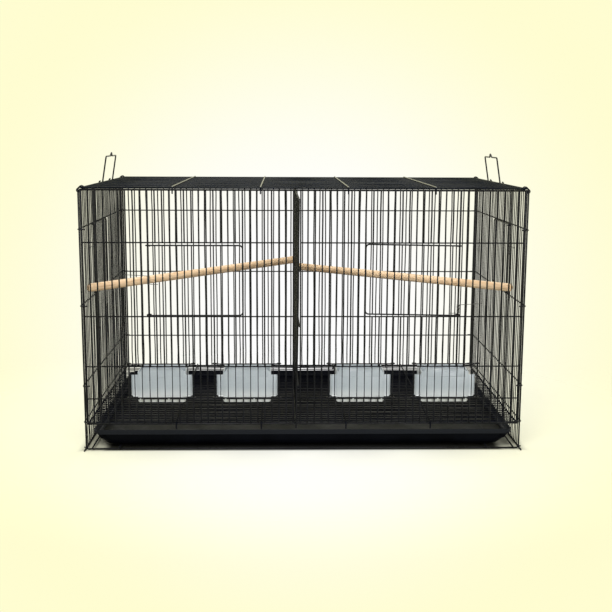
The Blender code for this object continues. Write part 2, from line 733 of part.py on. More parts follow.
def divider():
    """Slide-out middle grille with a hooked front end."""
    uprights = bmesh.new()
    front = HOOK_Y + 0.0002
    back = -FRONT_Y - ROW_OFFSET - CROSS - 0.0012 - CORNER
    low = FLOOR_CORNER_Z + ROOF_CORNER + 0.0004 + CROSS
    high = FRONT_TOP - 0.015
    count = SIDE_GAPS - 1
    for wire in range(1, count):
        y = front + wire * (back - front) / count
        bar(uprights, (DIVIDER_X, y, low), (DIVIDER_X, y, high), THIN)
    end_x = DIVIDER_X + CORNER_OFFSET
    bar(uprights, (end_x, front, low - HOOK_DROP), (end_x, front, high), CORNER)
    bar(uprights, (end_x, back, low), (end_x, back, high), CORNER)
    rows = bmesh.new()
    edge = CROSS + 0.0003
    for z in (low + 0.0003, high):
        bar(rows, (DIVIDER_X, front - 0.0010, z), (DIVIDER_X, back + 0.0010, z), edge)
    for share in DIVIDER_ROWS:
        z = row_height(share)
        x = DIVIDER_X + ROW_OFFSET
        bar(rows, (x, front - 0.0008, z), (x, back + 0.0008, z), CROSS)
    obj = solid("divider", uprights, black_wire("divider"), origin=(DIVIDER_X, front, low))
    combine(obj, helper("divider_rows", rows), "UNION")


def perch(name, side, wire, inner_y, shares):
    """Wooden perch, notched on a side wire and ending at the divider."""
    post = Vector((side * SIDE_X, side_y(wire), row_height(shares[0])))
    inner_x = DIVIDER_X + CORNER_OFFSET + side * (CORNER + GAP)
    inner = Vector((inner_x, inner_y, row_height(shares[1])))
    run = (inner - post).normalized()
    start = post - run * PERCH_POKE
    dowel = bmesh.new()
    rod(dowel, start, inner + run * 0.02, PERCH_RADIUS, sides=12)
    notch = bmesh.new()
    depth = PERCH_POKE + PERCH_SLOT / 2 + 0.0002
    box(notch, (-0.01, -PERCH_SLOT / 2, -0.02), (depth, PERCH_SLOT / 2, 0.02))
    turn = Matrix.Rotation(math.atan2(run.y, run.x), 4, "Z")
    bmesh.ops.transform(notch, verts=notch.verts, matrix=Matrix.Translation(start) @ turn)
    end = bmesh.new()
    low_x, high_x = sorted((inner_x, inner_x - side * 0.06))
    box(end, (low_x, inner_y - 0.06, inner.z - 0.04), (high_x, inner_y + 0.06, inner.z + 0.04))
    wood = material(name + "_wood", (0.76, 0.56, 0.36), 0.55)
    obj = solid(name, dowel, wood, origin=tuple(post), smooth=False)
    combine(obj, helper(name + "_notch", notch), "DIFFERENCE")
    combine(obj, helper(name + "_end", end), "DIFFERENCE")


def handle(name, side):
    """Carrying handle of one bent wire, turning on the roof's end wire."""
    axis = (side * ROOF_END_X, 0.0, ROOF_Z)
    radius = (ROOF_PIN + 0.0003 + HANDLE) / math.cos(HALF_STEP)
    ys = [side_y(wire) + SIDE_PITCH / 2 for wire in HANDLE_WIRES]
    middle = sum(ys) / 2
    leg = []
    for step in range(8, -1, -1):
        angle = 2 * HALF_STEP * step
        leg.append((radius * math.cos(angle), -radius * math.sin(angle)))
    leg.append((radius, HANDLE_RISE - 0.004))
    points = [(u, ys[0], v) for u, v in leg]
    points.append((radius, ys[0] + 0.0012, HANDLE_RISE - 0.0012))
    points.append((radius, ys[0] + 0.004, HANDLE_RISE))
    points.append((radius, middle - 0.006, HANDLE_RISE + 0.3 * HANDLE_PEAK))
    points.append((radius, middle, HANDLE_RISE + HANDLE_PEAK))
    points.append((radius, middle + 0.006, HANDLE_RISE + 0.3 * HANDLE_PEAK))
    points.append((radius, ys[1] - 0.004, HANDLE_RISE))
    points.append((radius, ys[1] - 0.0012, HANDLE_RISE - 0.0012))
    points.extend((u, ys[1], v) for u, v in reversed(leg))
    lean = Matrix.Rotation(math.radians(-HANDLE_LEAN * side), 4, "Y")
    placed = [Vector(axis) + lean @ Vector((-side * u, y, v)) for u, y, v in points]
    bm = bmesh.new()
    tube(bm, placed, HANDLE, sides=6)
    solid(name, bm, black_wire(name), origin=(axis[0], middle, axis[2]), smooth=True)


def corner_clips():
    """Oval wire rings that tie the roof to the side panels at the corners."""
    names = {(-1, -1): "corner_clip_front_left", (1, -1): "corner_clip_front_right",
             (-1, 1): "corner_clip_back_left", (1, 1): "corner_clip_back_right"}
    around = SIDE_EDGE * math.sqrt(2) + GAP + CLIP
    for (side, end), name in names.items():
        y = end * (-FRONT_Y - SIDE_PITCH / 2)
        first = Vector((side * ROOF_END_X, y, ROOF_Z))
        second = Vector((side * SIDE_X, y, SIDE_TOP))
        run = (second - first).normalized()
        out = Vector((run.z, 0.0, -run.x))
        points = []
        for centre, turn in ((second, -90), (first, 90)):
            for step in range(5):
                angle = math.radians(turn + 45 * step)
                points.append(centre + around * (math.cos(angle) * run + math.sin(angle) * out))
        bm = bmesh.new()
        tube(bm, points, CLIP, sides=4, cyclic=True)
        solid(name, bm, black_wire(name), origin=(first.x, y, first.z), smooth=True)


def main():
    """Builds every part of the cage."""
    clear_scene()
    front_panel()
    back_panel()
    side_panel("left_side_panel", -1)
    side_panel("right_side_panel", 1)
    roof_panel()
    floor_panel()
    base_frame()
    tray()
    main_doors()
    nest_doors()
    springs()
    feeder_doors()
    feed_cups()
    divider()
    perch("left_perch", -1, LEFT_PERCH_WIRE, LEFT_PERCH_REACH, LEFT_PERCH_SHARES)
    perch("right_perch", 1, RIGHT_PERCH_WIRE, RIGHT_PERCH_REACH, RIGHT_PERCH_SHARES)
    handle("left_handle", -1)
    handle("right_handle", 1)
    corner_clips()


main()
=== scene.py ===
"""Dressed model of a knock-down wire breeding cage for small birds.

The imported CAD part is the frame. Every piece here stands for one of its nodes, in
metres and in the same place: the front faces -Y and the feet stand on z = 0.
"""

import logging
import math
import random
from collections.abc import Callable, Iterable, Sequence
from dataclasses import dataclass, field
from enum import Enum, IntEnum

import bmesh
import bpy
from mathutils import Matrix, Vector


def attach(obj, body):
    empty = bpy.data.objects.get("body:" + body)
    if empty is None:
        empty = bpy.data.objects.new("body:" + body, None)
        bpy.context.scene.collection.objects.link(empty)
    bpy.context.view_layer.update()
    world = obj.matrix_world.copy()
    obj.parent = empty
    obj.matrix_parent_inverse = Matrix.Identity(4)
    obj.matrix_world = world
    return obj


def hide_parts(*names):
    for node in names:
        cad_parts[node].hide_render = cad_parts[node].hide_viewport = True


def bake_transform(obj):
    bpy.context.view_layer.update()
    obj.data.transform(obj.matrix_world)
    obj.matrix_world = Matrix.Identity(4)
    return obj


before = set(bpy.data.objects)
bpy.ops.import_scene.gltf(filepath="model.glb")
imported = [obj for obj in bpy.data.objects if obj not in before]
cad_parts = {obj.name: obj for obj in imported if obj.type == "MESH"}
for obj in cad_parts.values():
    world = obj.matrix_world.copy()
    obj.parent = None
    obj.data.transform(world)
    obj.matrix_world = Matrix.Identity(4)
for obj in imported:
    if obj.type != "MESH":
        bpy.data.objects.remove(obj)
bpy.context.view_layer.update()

log = logging.getLogger("bird_cage")

Point = Sequence[float]
Place = Callable[[float, float, float], Vector]
Colour = tuple[float, float, float, float]
Solid = bpy.types.Object
Socket = bpy.types.NodeSocket

ROOT = "cage"
WHITE = (1.0, 1.0, 1.0, 1.0)
# How far a point may lie from the place that picks it, in metres.
SAME, NEAR, CLOSE = 1e-5, 1e-4, 1e-3
# Share of a wire's radius cut off its ends, and most of a straight piece that a bend takes.
END_CUT, BEND_SHARE = 0.35, 0.48


class Side(IntEnum):
    """Left or right, as the sign of X."""

    LEFT = -1
    RIGHT = 1


class End(IntEnum):
    """Front or back, as the sign of Y."""

    FRONT = -1
    BACK = 1


@dataclass(frozen=True)
class Layout:
    """Sizes that the pieces share with the CAD part, in metres. Wires are numbered."""

    width: float = 0.762
    depth: float = 0.457
    front_gaps: int = 61
    side_gaps: int = 37
    bottom: float = 0.045
    sill: float = 0.090
    feed_top: float = 0.148
    door_sill: float = 0.237
    door_head: float = 0.366
    front_top: float = 0.4562
    side_top: float = 0.455
    roof_z: float = 0.4595
    side_rows: tuple[float, ...] = (0.04895, 0.11400, 0.25602, 0.38886)
    divider_rows: tuple[float, ...] = (0.11400, 0.22007, 0.31783)
    banks: tuple[tuple[int, int], ...] = ((3, 12), (15, 24))
    door_free: int = 8
    door_hinge: int = 21
    nest_free: int = 23
    pin_facets: int = 16
    stick_share: float = 0.8
    nest_hinge: int = 11
    thin: float = 0.0010
    cross: float = 0.0012
    edge: float = 0.0016
    side_edge: float = 0.0015
    pin: float = 0.0014
    roof_pin: float = 0.0013
    roof_corner: float = 0.0014
    door_wire: float = 0.0014
    side_x: float = 0.3843
    roof_end_x: float = 0.3795
    rail_end: float = 0.3824
    row_lap: float = 0.0011
    post_shift: float = 0.00015
    hook_y: float = 0.2318
    hook_depth: float = 0.012
    hook_lead: float = 0.003
    floor_z: float = 0.0458
    floor_end_x: float = 0.37945
    divider_x: float = -0.0135918
    eye: float = 0.0032094
    weld: float = 0.0002
    play: float = 0.0003
    head_gap: float = 0.0030

    @property
    def pitch(self) -> float:
        """Spacing of the upright wires of the front and back."""
        return self.width / self.front_gaps

    @property
    def side_pitch(self) -> float:
        """Spacing of the upright wires of the sides."""
        return self.depth / self.side_gaps

    @property
    def front_y(self) -> float:
        """Plane of the front's upright wires."""
        return -self.depth / 2

    @property
    def row_out(self) -> float:
        """Distance between a long wire's middle and the plane it is welded to."""
        return self.thin + self.cross - self.weld

    @property
    def row_end(self) -> float:
        """Where the long wires of the front and back end."""
        return self.width / 2 + self.row_lap

    @property
    def stick(self) -> float:
        """How far a cut upright stops short of the middle of a long wire."""
        return self.stick_share * self.cross

    @property
    def reach(self) -> float:
        """How far the uprights reach onto the outer long wires."""
        return 0.5 * self.edge

    @property
    def seat(self) -> float:
        """Middle of a door's wire above the long wire that it comes down on."""
        return self.cross + self.play + self.door_wire

    def front_x(self, wire: int, side: int) -> float:
        """X of an upright wire of the front, counted out from the middle."""
        return side * (wire + 0.5) * self.pitch

    def side_y(self, wire: float) -> float:
        """Y of an upright wire of a side, counted from the front."""
        return self.front_y + wire * self.side_pitch


CAGE = Layout()


class Bench:
    """Modelling moves that the sub-assemblies share."""

    @staticmethod
    def clear() -> None:
        """Leaves edit mode and deselects everything."""
        if bpy.context.object and bpy.context.object.mode != "OBJECT":
            bpy.ops.object.mode_set(mode="OBJECT")
        bpy.ops.object.select_all(action="DESELECT")

    @classmethod
    def take(cls, obj: Solid) -> None:
        """Selects one object and makes it the active one."""
        cls.clear()
        obj.select_set(True)
        bpy.context.view_layer.objects.active = obj

    @classmethod
    def settle(cls, obj: Solid) -> None:
        """Puts the object's place, turn and scale into its mesh."""
        cls.take(obj)
        bpy.ops.object.transform_apply(location=True, rotation=True, scale=True)

    @classmethod
    def apply(cls, obj: Solid) -> None:
        """Applies every modifier of the object, in order."""
        cls.take(obj)
        for step in list(obj.modifiers):
            bpy.ops.object.modifier_apply(modifier=step.name)

    @classmethod
    def select(cls, obj: Solid, kind: str,
               test: Callable[[Vector], bool] = lambda place: True) -> None:
        """Enters edit mode with some elements selected.

        Args:
            obj: The mesh object.
            kind: VERT, EDGE or FACE.
            test: Says whether an element with that middle is selected.
        """
        cls.take(obj)
        mesh = obj.data
        middles = {"VERT": lambda vert: vert.co,
                   "EDGE": lambda edge: sum((mesh.vertices[i].co for i in edge.vertices),
                                            Vector()) / 2,
                   "FACE": lambda face: face.center}
        lists = {"VERT": mesh.vertices, "EDGE": mesh.edges, "FACE": mesh.polygons}
        for group, items in lists.items():
            for item in items:
                item.select = group == kind and test(middles[group](item))
        bpy.ops.object.mode_set(mode="EDIT")
        bpy.ops.mesh.select_mode(type=kind)

    @classmethod
    def soften(cls, obj: Solid, width: float, segments: int = 2, angle: float = 35.0) -> None:
        """Rounds the sharp edges of an object and smooths its faces.

        Args:
            obj: The object.
            width: Width of each rounded edge.
            segments: Faces across it.
            angle: Least angle of a sharp edge, in degrees.
        """
        step = obj.modifiers.new("softened", "BEVEL")
        step.width = width
        step.segments = segments
        step.limit_method = "ANGLE"
        step.angle_limit = math.radians(angle)
        cls.apply(obj)
        bpy.ops.object.shade_smooth_by_angle(angle=math.radians(angle))

    @classmethod
    def cut(cls, obj: Solid, cutter: Solid) -> None:
        """Takes one object's shape out of another.

        Args:
            obj: The object that is cut.
            cutter: The shape that is taken out, which is used up.
        """
        step = obj.modifiers.new("cut", "BOOLEAN")
        step.operation = "DIFFERENCE"
        step.solver = "EXACT"
        step.object = cutter
        cls.apply(obj)
        bpy.data.objects.remove(cutter, do_unlink=True)

    @classmethod
    def box(cls, low: Point, high: Point) -> Solid:
        """Adds a block between two corners, ready to be shaped.

        Args:
            low: Its lowest corner.
            high: Its highest corner.

        Returns:
            The block.
        """
        cls.clear()
        middle = [(a + b) / 2 for a, b in zip(low, high)]
        bpy.ops.mesh.primitive_cube_add(size=1.0, location=middle)
        obj = bpy.context.object
        obj.scale = [b - a for a, b in zip(low, high)]
        cls.settle(obj)
        return obj

    @classmethod
    def rod(cls, start: Point, end: Point, radius: float, sides: int = 12) -> Solid:
        """Adds a straight wire with eased ends.

        Args:
            start: Middle of one end.
            end: Middle of the other end.
            radius: Radius of the wire.
            sides: Faces round it.

        Returns:
            The finished wire.
        """
        start, end = Vector(start), Vector(end)
        cls.clear()
        bpy.ops.mesh.primitive_cylinder_add(
            vertices=sides, radius=radius, depth=(end - start).length,
            location=(start + end) / 2, rotation=(end - start).to_track_quat("Z", "Y").to_euler())
        obj = bpy.context.object
        cls.settle(obj)
        cls.soften(obj, END_CUT * radius, segments=1, angle=60.0)
        return obj

    @staticmethod
    def rounded(corners: Sequence[Point], bend: float, steps: int = 5) -> list[Vector]:
        """Rounds the corners of a path.

        Args:
            corners: The path's corner points.
            bend: Radius of each bend.
            steps: Pieces in each bend.

        Returns:
            The rounded path.
        """
        places = [Vector(c) for c in corners]
        path = [places[0]]
        for before, corner, after in zip(places, places[1:], places[2:]):
            back = before - corner
            on = after - corner
            half = back.angle(on) / 2
            cut = min(bend / math.tan(half), BEND_SHARE * back.length,
                      BEND_SHARE * on.length)
            start = corner + back.normalized() * cut
            end = corner + on.normalized() * cut
            for step in range(steps + 1):
                t = step / steps
                path.append(start.lerp(corner, t).lerp(corner.lerp(end, t), t))
        path.append(places[-1])
        return path

    @staticmethod
    def curl(radius: float, degrees: float, steps: int) -> list[tuple[float, float, float]]:
        """Points of an eye, from its cut end to the straight wire.

        Args:
            radius: Radius of the eye.
            degrees: How far the wire is curled.
            steps: Pieces in the curl.

        Returns:
            Distance across, distance out, and share of the curl still to come, for each point.
        """
        points = []
        for step in range(steps, -1, -1):
            angle = math.radians(degrees) * step / steps
            points.append((radius * math.sin(angle), radius * math.cos(angle), step / steps))
        return points

    @classmethod
    def bent(cls, points: Sequence[Point], radius: float, closed: bool = False,
             resolution: int = 3) -> Solid:
        """Adds a bent wire along a path, closed at its ends.

        Args:
            points: The path's points.
            radius: Radius of the wire.
            closed: Whether the path is a ring.
            resolution: Bevel resolution, which gives 4 faces round and 2 more for each step.

        Returns:
            The wire as a mesh.
        """
        cls.clear()
        bpy.ops.curve.primitive_nurbs_path_add(location=(0.0, 0.0, 0.0))
        obj = bpy.context.object
        curve = obj.data
        curve.splines.clear()
        spline = curve.splines.new("POLY")
        spline.points.add(len(points) - 1)
        for knot, place in zip(spline.points, points):
            knot.co = (*place, 1.0)
        spline.use_cyclic_u = closed
        curve.dimensions = "3D"
        curve.bevel_depth = radius
        curve.bevel_resolution = resolution
        curve.use_fill_caps = not closed
        bpy.ops.object.convert(target="MESH")
        obj = bpy.context.object
        cls.select(obj, "VERT")
        bpy.ops.mesh.remove_doubles(threshold=1e-6)
        bpy.ops.mesh.normals_make_consistent(inside=False)
        bpy.ops.object.mode_set(mode="OBJECT")
        bpy.ops.object.shade_smooth_by_angle(angle=math.radians(50))
        return obj

    @classmethod
    def stamp(cls, pattern: Solid, moves: Iterable[Point],
              bend: Callable[[int, Vector], Vector] | None = None) -> Solid:
        """Copies a modelled piece to many places, as one object.

        Args:
            pattern: The piece to copy. It is used up.
            moves: How far each copy is from the piece.
            bend: How far a point of the numbered copy strays from its place.

        Returns:
            An object that holds all the copies.
        """
        cls.clear()
        made = bmesh.new()
        for number, move in enumerate(moves):
            first = len(made.verts)
            made.from_mesh(pattern.data)
            made.verts.ensure_lookup_table()
            copied = made.verts[first:]
            bmesh.ops.translate(made, verts=copied, vec=Vector(move))
            for vert in copied if bend else ():
                vert.co += bend(number, vert.co)
        made.to_mesh(pattern.data)
        made.free()
        return pattern

    @classmethod
    def join(cls, name: str, pieces: Sequence[Solid]) -> Solid:
        """Joins pieces into one object at the origin.

        Args:
            name: Its name.
            pieces: The pieces, which are used up.

        Returns:
            The joined object.
        """
        cls.take(pieces[0])
        for piece in pieces:
            piece.select_set(True)
        if len(pieces) > 1:
            bpy.ops.object.join()
        joined = bpy.context.object
        joined.name = name
        joined.data.name = name
        cls.settle(joined)
        return joined


class Graph:
    """A small wrapper that adds and links shader nodes."""

    def __init__(self, tree: bpy.types.NodeTree) -> None:
        """Wraps one node tree."""
        self.tree = tree

    def feed(self, node: bpy.types.Node, inputs: dict[str | int, object]) -> None:
        """Links sockets to a node's inputs and sets plain values on them.

        Args:
            node: The node.
            inputs: Sockets or values, by the input's name or number.
        """
        for key, value in inputs.items():
            if isinstance(value, Socket):
                self.tree.links.new(value, node.inputs[key])
            else:
                node.inputs[key].default_value = value

    def add(self, kind: str, inputs: dict[str | int, object] | None = None,
            **settings: object) -> bpy.types.Node:
        """Adds a node.

        Args:
            kind: The node's type name.
            inputs: Sockets or values for its inputs, by name or number.
            **settings: Properties of the node.

        Returns:
            The new node.
        """
        node = self.tree.nodes.new(kind)
        for key, value in settings.items():
            setattr(node, key, value)
        self.feed(node, inputs or {})
        return node

    def math(self, operation: str, *values: object) -> Socket:
        """Result of a Math node."""
        return self.add("ShaderNodeMath", dict(enumerate(values)), operation=operation).outputs[0]

    def vector(self, operation: str, *values: object, output: str = "Vector") -> Socket:
        """Result of a Vector Math node."""
        node = self.add("ShaderNodeVectorMath", dict(enumerate(values)), operation=operation)
        return node.outputs[output]

    def mix(self, factor: object, a: object, b: object) -> Socket:
        """Mixture of two colours."""
        node = self.add("ShaderNodeMix", {0: factor, 6: a, 7: b}, data_type="RGBA")
        return node.outputs[2]

    def ramp(self, value: object, low: float, high: float) -> Socket:
        """Maps a value from the given range to 0..1, clamped and eased."""
        node = self.add("ShaderNodeMapRange", {0: value, 1: low, 2: high},
                        interpolation_type="SMOOTHSTEP")
        return node.outputs[0]

    def scaled(self, value: Socket, low: float, high: float, to_low: object,
               to_high: object) -> Socket:
        """Maps a value from one range to another, clamped."""
        return self.add("ShaderNodeMapRange", {0: value, 1: low, 2: high, 3: to_low,
                                               4: to_high}).outputs[0]

    def noise(self, place: Socket, scale: object, detail: float, roughness: float) -> Socket:
        """Value of a Noise texture."""
        return self.add("ShaderNodeTexNoise", {"Vector": place, "Scale": scale, "Detail": detail,
                                               "Roughness": roughness}).outputs[0]

    def mapped(self, place: Socket, scale: Point, shift: Point = (0.0, 0.0, 0.0)) -> Socket:
        """Place that is stretched and moved by a Mapping node."""
        return self.add("ShaderNodeMapping", {"Vector": place, "Location": shift,
                                              "Scale": scale}).outputs[0]

    def place(self) -> Socket:
        """Object coordinates."""
        return self.add("ShaderNodeTexCoord").outputs["Object"]

    def axis(self, vector: Socket, name: str) -> Socket:
        """One part of a vector, by the name of its axis."""
        return self.add("ShaderNodeSeparateXYZ", {0: vector}).outputs[name]


class Paint(Graph):
    """Graph of a new material, with its shader at hand."""

    def __init__(self, name: str) -> None:
        """Makes a node material with a plain shader.

        Args:
            name: The material's name.
        """
        self.material = bpy.data.materials.new(name)
        self.material.use_nodes = True
        super().__init__(self.material.node_tree)
        self.shader = self.tree.nodes["Principled BSDF"]

    def dress(self, colour: Socket, roughness: Socket, height: Socket, depth: float,
              strength: float) -> bpy.types.Material:
        """Feeds the shader with what varies over the surface.

        Args:
            colour: Its colour.
            roughness: Its roughness.
            height: Height of its grain, from 0 to 1.
            depth: Depth of the grain in metres.
            strength: Share of the grain that shows.

        Returns:
            The material.
        """
        bump = self.add("ShaderNodeBump", {"Height": height, "Distance": depth,
                                           "Strength": strength})
        self.feed(self.shader, {"Base Color": colour, "Roughness": roughness,
                                "Normal": bump.outputs["Normal"]})
        return self.material


class SocketKind(Enum):
    """Types of a node group's sockets."""

    COLOUR = "NodeSocketColor"
    VALUE = "NodeSocketFloat"


def new_group(name: str, inputs: dict[str, tuple[SocketKind, object]],
              outputs: dict[str, SocketKind]) -> tuple[Graph, bpy.types.NodeOutputs]:
    """Starts a shader node group.

    Args:
        name: The group's name.
        inputs: Kind and first value of each input.
        outputs: Kind of each output.

    Returns:
        A graph to build the group with, and its inputs by name.
    """
    tree = bpy.data.node_groups.new(name, "ShaderNodeTree")
    for title, (kind, value) in inputs.items():
        socket = tree.interface.new_socket(title, in_out="INPUT", socket_type=kind.value)
        socket.default_value = value
    for title, kind in outputs.items():
        tree.interface.new_socket(title, in_out="OUTPUT", socket_type=kind.value)
    graph = Graph(tree)
    return graph, graph.add("NodeGroupInput").outputs


@dataclass(frozen=True)
class SharedEffects:
    """Node groups that several finishes use."""

    speckle: bpy.types.NodeTree
    dust: bpy.types.NodeTree

    @classmethod
    def build(cls) -> "SharedEffects":
        """Builds both groups."""
        return cls(cls._speckle(), cls._dust())

    @staticmethod
    def _speckle() -> bpy.types.NodeTree:
        """Uneven tone, gloss and grain of a coated or moulded surface.

        Returns:
            The group.
        """
        colour, value = SocketKind.COLOUR, SocketKind.VALUE
        graph, source = new_group(
            "uneven_surface",
            {"Tone": (colour, (0.5, 0.5, 0.5, 1.0)), "Second Tone": (colour, (0.4, 0.4, 0.4, 1.0)),
             "Patch Scale": (value, 40.0), "Grain Scale": (value, 1500.0),
             "Gloss Low": (value, 0.35), "Gloss High": (value, 0.5)},
            {"Color": colour, "Roughness": value, "Height": value})
        place = graph.place()
        patch = graph.noise(place, source["Patch Scale"], 4.0, 0.6)
        grain = graph.noise(place, source["Grain Scale"], 2.0, 0.5)
        share = graph.ramp(graph.math("MULTIPLY_ADD", grain, 0.35,
                                      graph.math("MULTIPLY", patch, 0.65)), 0.35, 0.65)
        graph.add("NodeGroupOutput", {
            "Color": graph.mix(share, source["Tone"], source["Second Tone"]),
            "Roughness": graph.scaled(patch, 0.3, 0.7, source["Gloss Low"], source["Gloss High"]),
            "Height": grain})
        return graph.tree

    @staticmethod
    def _dust() -> bpy.types.NodeTree:
        """Pale dust that lies thin and patchy on faces that look up.

        Returns:
            The group.
        """
        colour, value = SocketKind.COLOUR, SocketKind.VALUE
        graph, source = new_group(
            "settled_dust",
            {"Base": (colour, (0.1, 0.1, 0.1, 1.0)), "Dust Tone": (colour, (0.5, 0.5, 0.48, 1.0)),
             "Amount": (value, 0.1)},
            {"Color": colour})
        up = graph.axis(graph.add("ShaderNodeNewGeometry").outputs["Normal"], "Z")
        cloud = graph.noise(graph.place(), 24.0, 5.0, 0.65)
        patchy = graph.math("MULTIPLY_ADD", graph.ramp(cloud, 0.3, 0.75), 0.45, 0.4)
        lying = graph.math("MULTIPLY", graph.ramp(up, 0.2, 1.0), patchy)
        mask = graph.math("MULTIPLY", lying, source["Amount"])
        graph.add("NodeGroupOutput", {
            "Color": graph.mix(mask, source["Base"], source["Dust Tone"])})
        return graph.tree


@dataclass(frozen=True)
class UnevenFinish:
    """Coating or moulding that is uneven in tone, gloss and grain."""

    name: str
    tone: Colour
    second: Colour
    gloss: tuple[float, float]
    patch: float = 45.0
    grain: float = 1600.0
    depth: float = 0.000025

    def begin(self, effects: SharedEffects) -> tuple[Paint, Socket, Socket, Socket]:
        """Starts the material.

        Args:
            effects: The shared node groups.

        Returns:
            The material's graph, and the colour, roughness and height of the surface.
        """
        paint = Paint(self.name)
        base = paint.add("ShaderNodeGroup", {
            "Tone": self.tone, "Second Tone": self.second, "Patch Scale": self.patch,
            "Grain Scale": self.grain, "Gloss Low": self.gloss[0], "Gloss High": self.gloss[1]},
            node_tree=effects.speckle)
        return paint, *base.outputs


@dataclass(frozen=True)
class CoatFinish(UnevenFinish):
    """Black coating or moulding with a little dust, and a painted highlight on its upper band
    where it has one.
    """

    dust: float = 0.0
    specular: float = 0.5
    metallic: float = 0.0
    painted_highlight_from: float | None = None
    painted_highlight_tone: Colour = (0.013, 0.0145, 0.0175, 1.0)

    def material(self, effects: SharedEffects) -> bpy.types.Material:
        """Builds the material.

        Args:
            effects: The shared node groups.

        Returns:
            The material.
        """
        paint, colour, roughness, height = self.begin(effects)
        # Painted highlight: from the given height up, the colour turns lighter, patchy with the
        # grain.
        if self.painted_highlight_from is not None:
            level = paint.axis(paint.place(), "Z")
            painted_highlight_band = paint.ramp(level, self.painted_highlight_from, self.painted_highlight_from + 0.001)
            painted_highlight_share = paint.math("MULTIPLY", painted_highlight_band, paint.math("MULTIPLY_ADD", height, 0.5, 0.5))
            colour = paint.mix(painted_highlight_share, colour, self.painted_highlight_tone)
        dusted = paint.add("ShaderNodeGroup", {"Base": colour, "Amount": self.dust},
                           node_tree=effects.dust)
        paint.feed(paint.shader, {"Specular IOR Level": self.specular,
                                  "Metallic": self.metallic})
        return paint.dress(dusted.outputs["Color"], roughness, height, self.depth, 1.0)


@dataclass(frozen=True)
class MilkyPlastic(UnevenFinish):
    """Milky moulded plastic, a little cloudy, with painted light that makes it paler at the
    bottom.
    """

    painted_light_low_tone: Colour = (0.64, 0.66, 0.64, 1.0)
    painted_light_low_share: float = 0.8
    painted_light_low_z: tuple[float, float] = (0.086, 0.112)

    def material(self, effects: SharedEffects) -> bpy.types.Material:
        """Builds the material.

        Args:
            effects: The shared node groups.

        Returns:
            The material.
        """
        paint, colour, roughness, height = self.begin(effects)
        # Painted light: the cup's lower part is mixed toward a paler tone.
        level = paint.ramp(paint.axis(paint.place(), "Z"), *self.painted_light_low_z)
        low = paint.math("MULTIPLY", paint.math("SUBTRACT", 1.0, level), self.painted_light_low_share)
        colour = paint.mix(low, colour, self.painted_light_low_tone)
        return paint.dress(colour, roughness, height, self.depth, 0.6)


@dataclass(frozen=True)
class TurnedWood:
    """Pale softwood dowel with streaks along the grain and a few darker rays."""

    name: str
    along: Vector
    centre: Vector
    pale: Colour = (0.84, 0.64, 0.415, 1.0)
    streaked: Colour = (0.63, 0.405, 0.22, 1.0)
    ringed: Colour = (0.66, 0.41, 0.20, 1.0)
    pored: Colour = (0.40, 0.23, 0.11, 1.0)

    def material(self) -> bpy.types.Material:
        """Builds the material, with the grain along the dowel.

        Returns:
            The material.
        """
        paint = Paint(self.name)
        turn = self.along.to_track_quat("X", "Z").inverted().to_euler()
        moved = paint.vector("SUBTRACT", paint.place(), self.centre)
        local = paint.add("ShaderNodeVectorRotate", {"Vector": moved, "Rotation": turn},
                          rotation_type="EULER_XYZ").outputs[0]
        streak = paint.noise(paint.mapped(local, (9.0, 260.0, 260.0)), 1.0, 6.0, 0.62)
        pore = paint.noise(paint.mapped(local, (90.0, 1400.0, 1400.0)), 1.0, 2.0, 0.5)
        rings = paint.add("ShaderNodeTexWave", {
            "Vector": paint.mapped(local, (0.6, 1.0, 1.0), (0.0, 0.018, 0.011)), "Scale": 95.0,
            "Distortion": 3.5, "Detail": 3.0, "Detail Scale": 2.0},
            wave_type="RINGS", rings_direction="X").outputs["Fac"]
        colour = paint.mix(paint.ramp(streak, 0.3, 0.72), self.pale, self.streaked)
        colour = paint.mix(paint.math("MULTIPLY", rings, 0.22), colour, self.ringed)
        colour = paint.mix(paint.math("MULTIPLY", paint.ramp(pore, 0.62, 0.8), 0.45), colour,
                           self.pored)
        relief = paint.math("ADD", paint.math("MULTIPLY", streak, 0.7), pore)
        roughness = paint.scaled(streak, 0.2, 0.8, 0.52, 0.7)
        return paint.dress(colour, roughness, relief, 0.00012, 0.8)


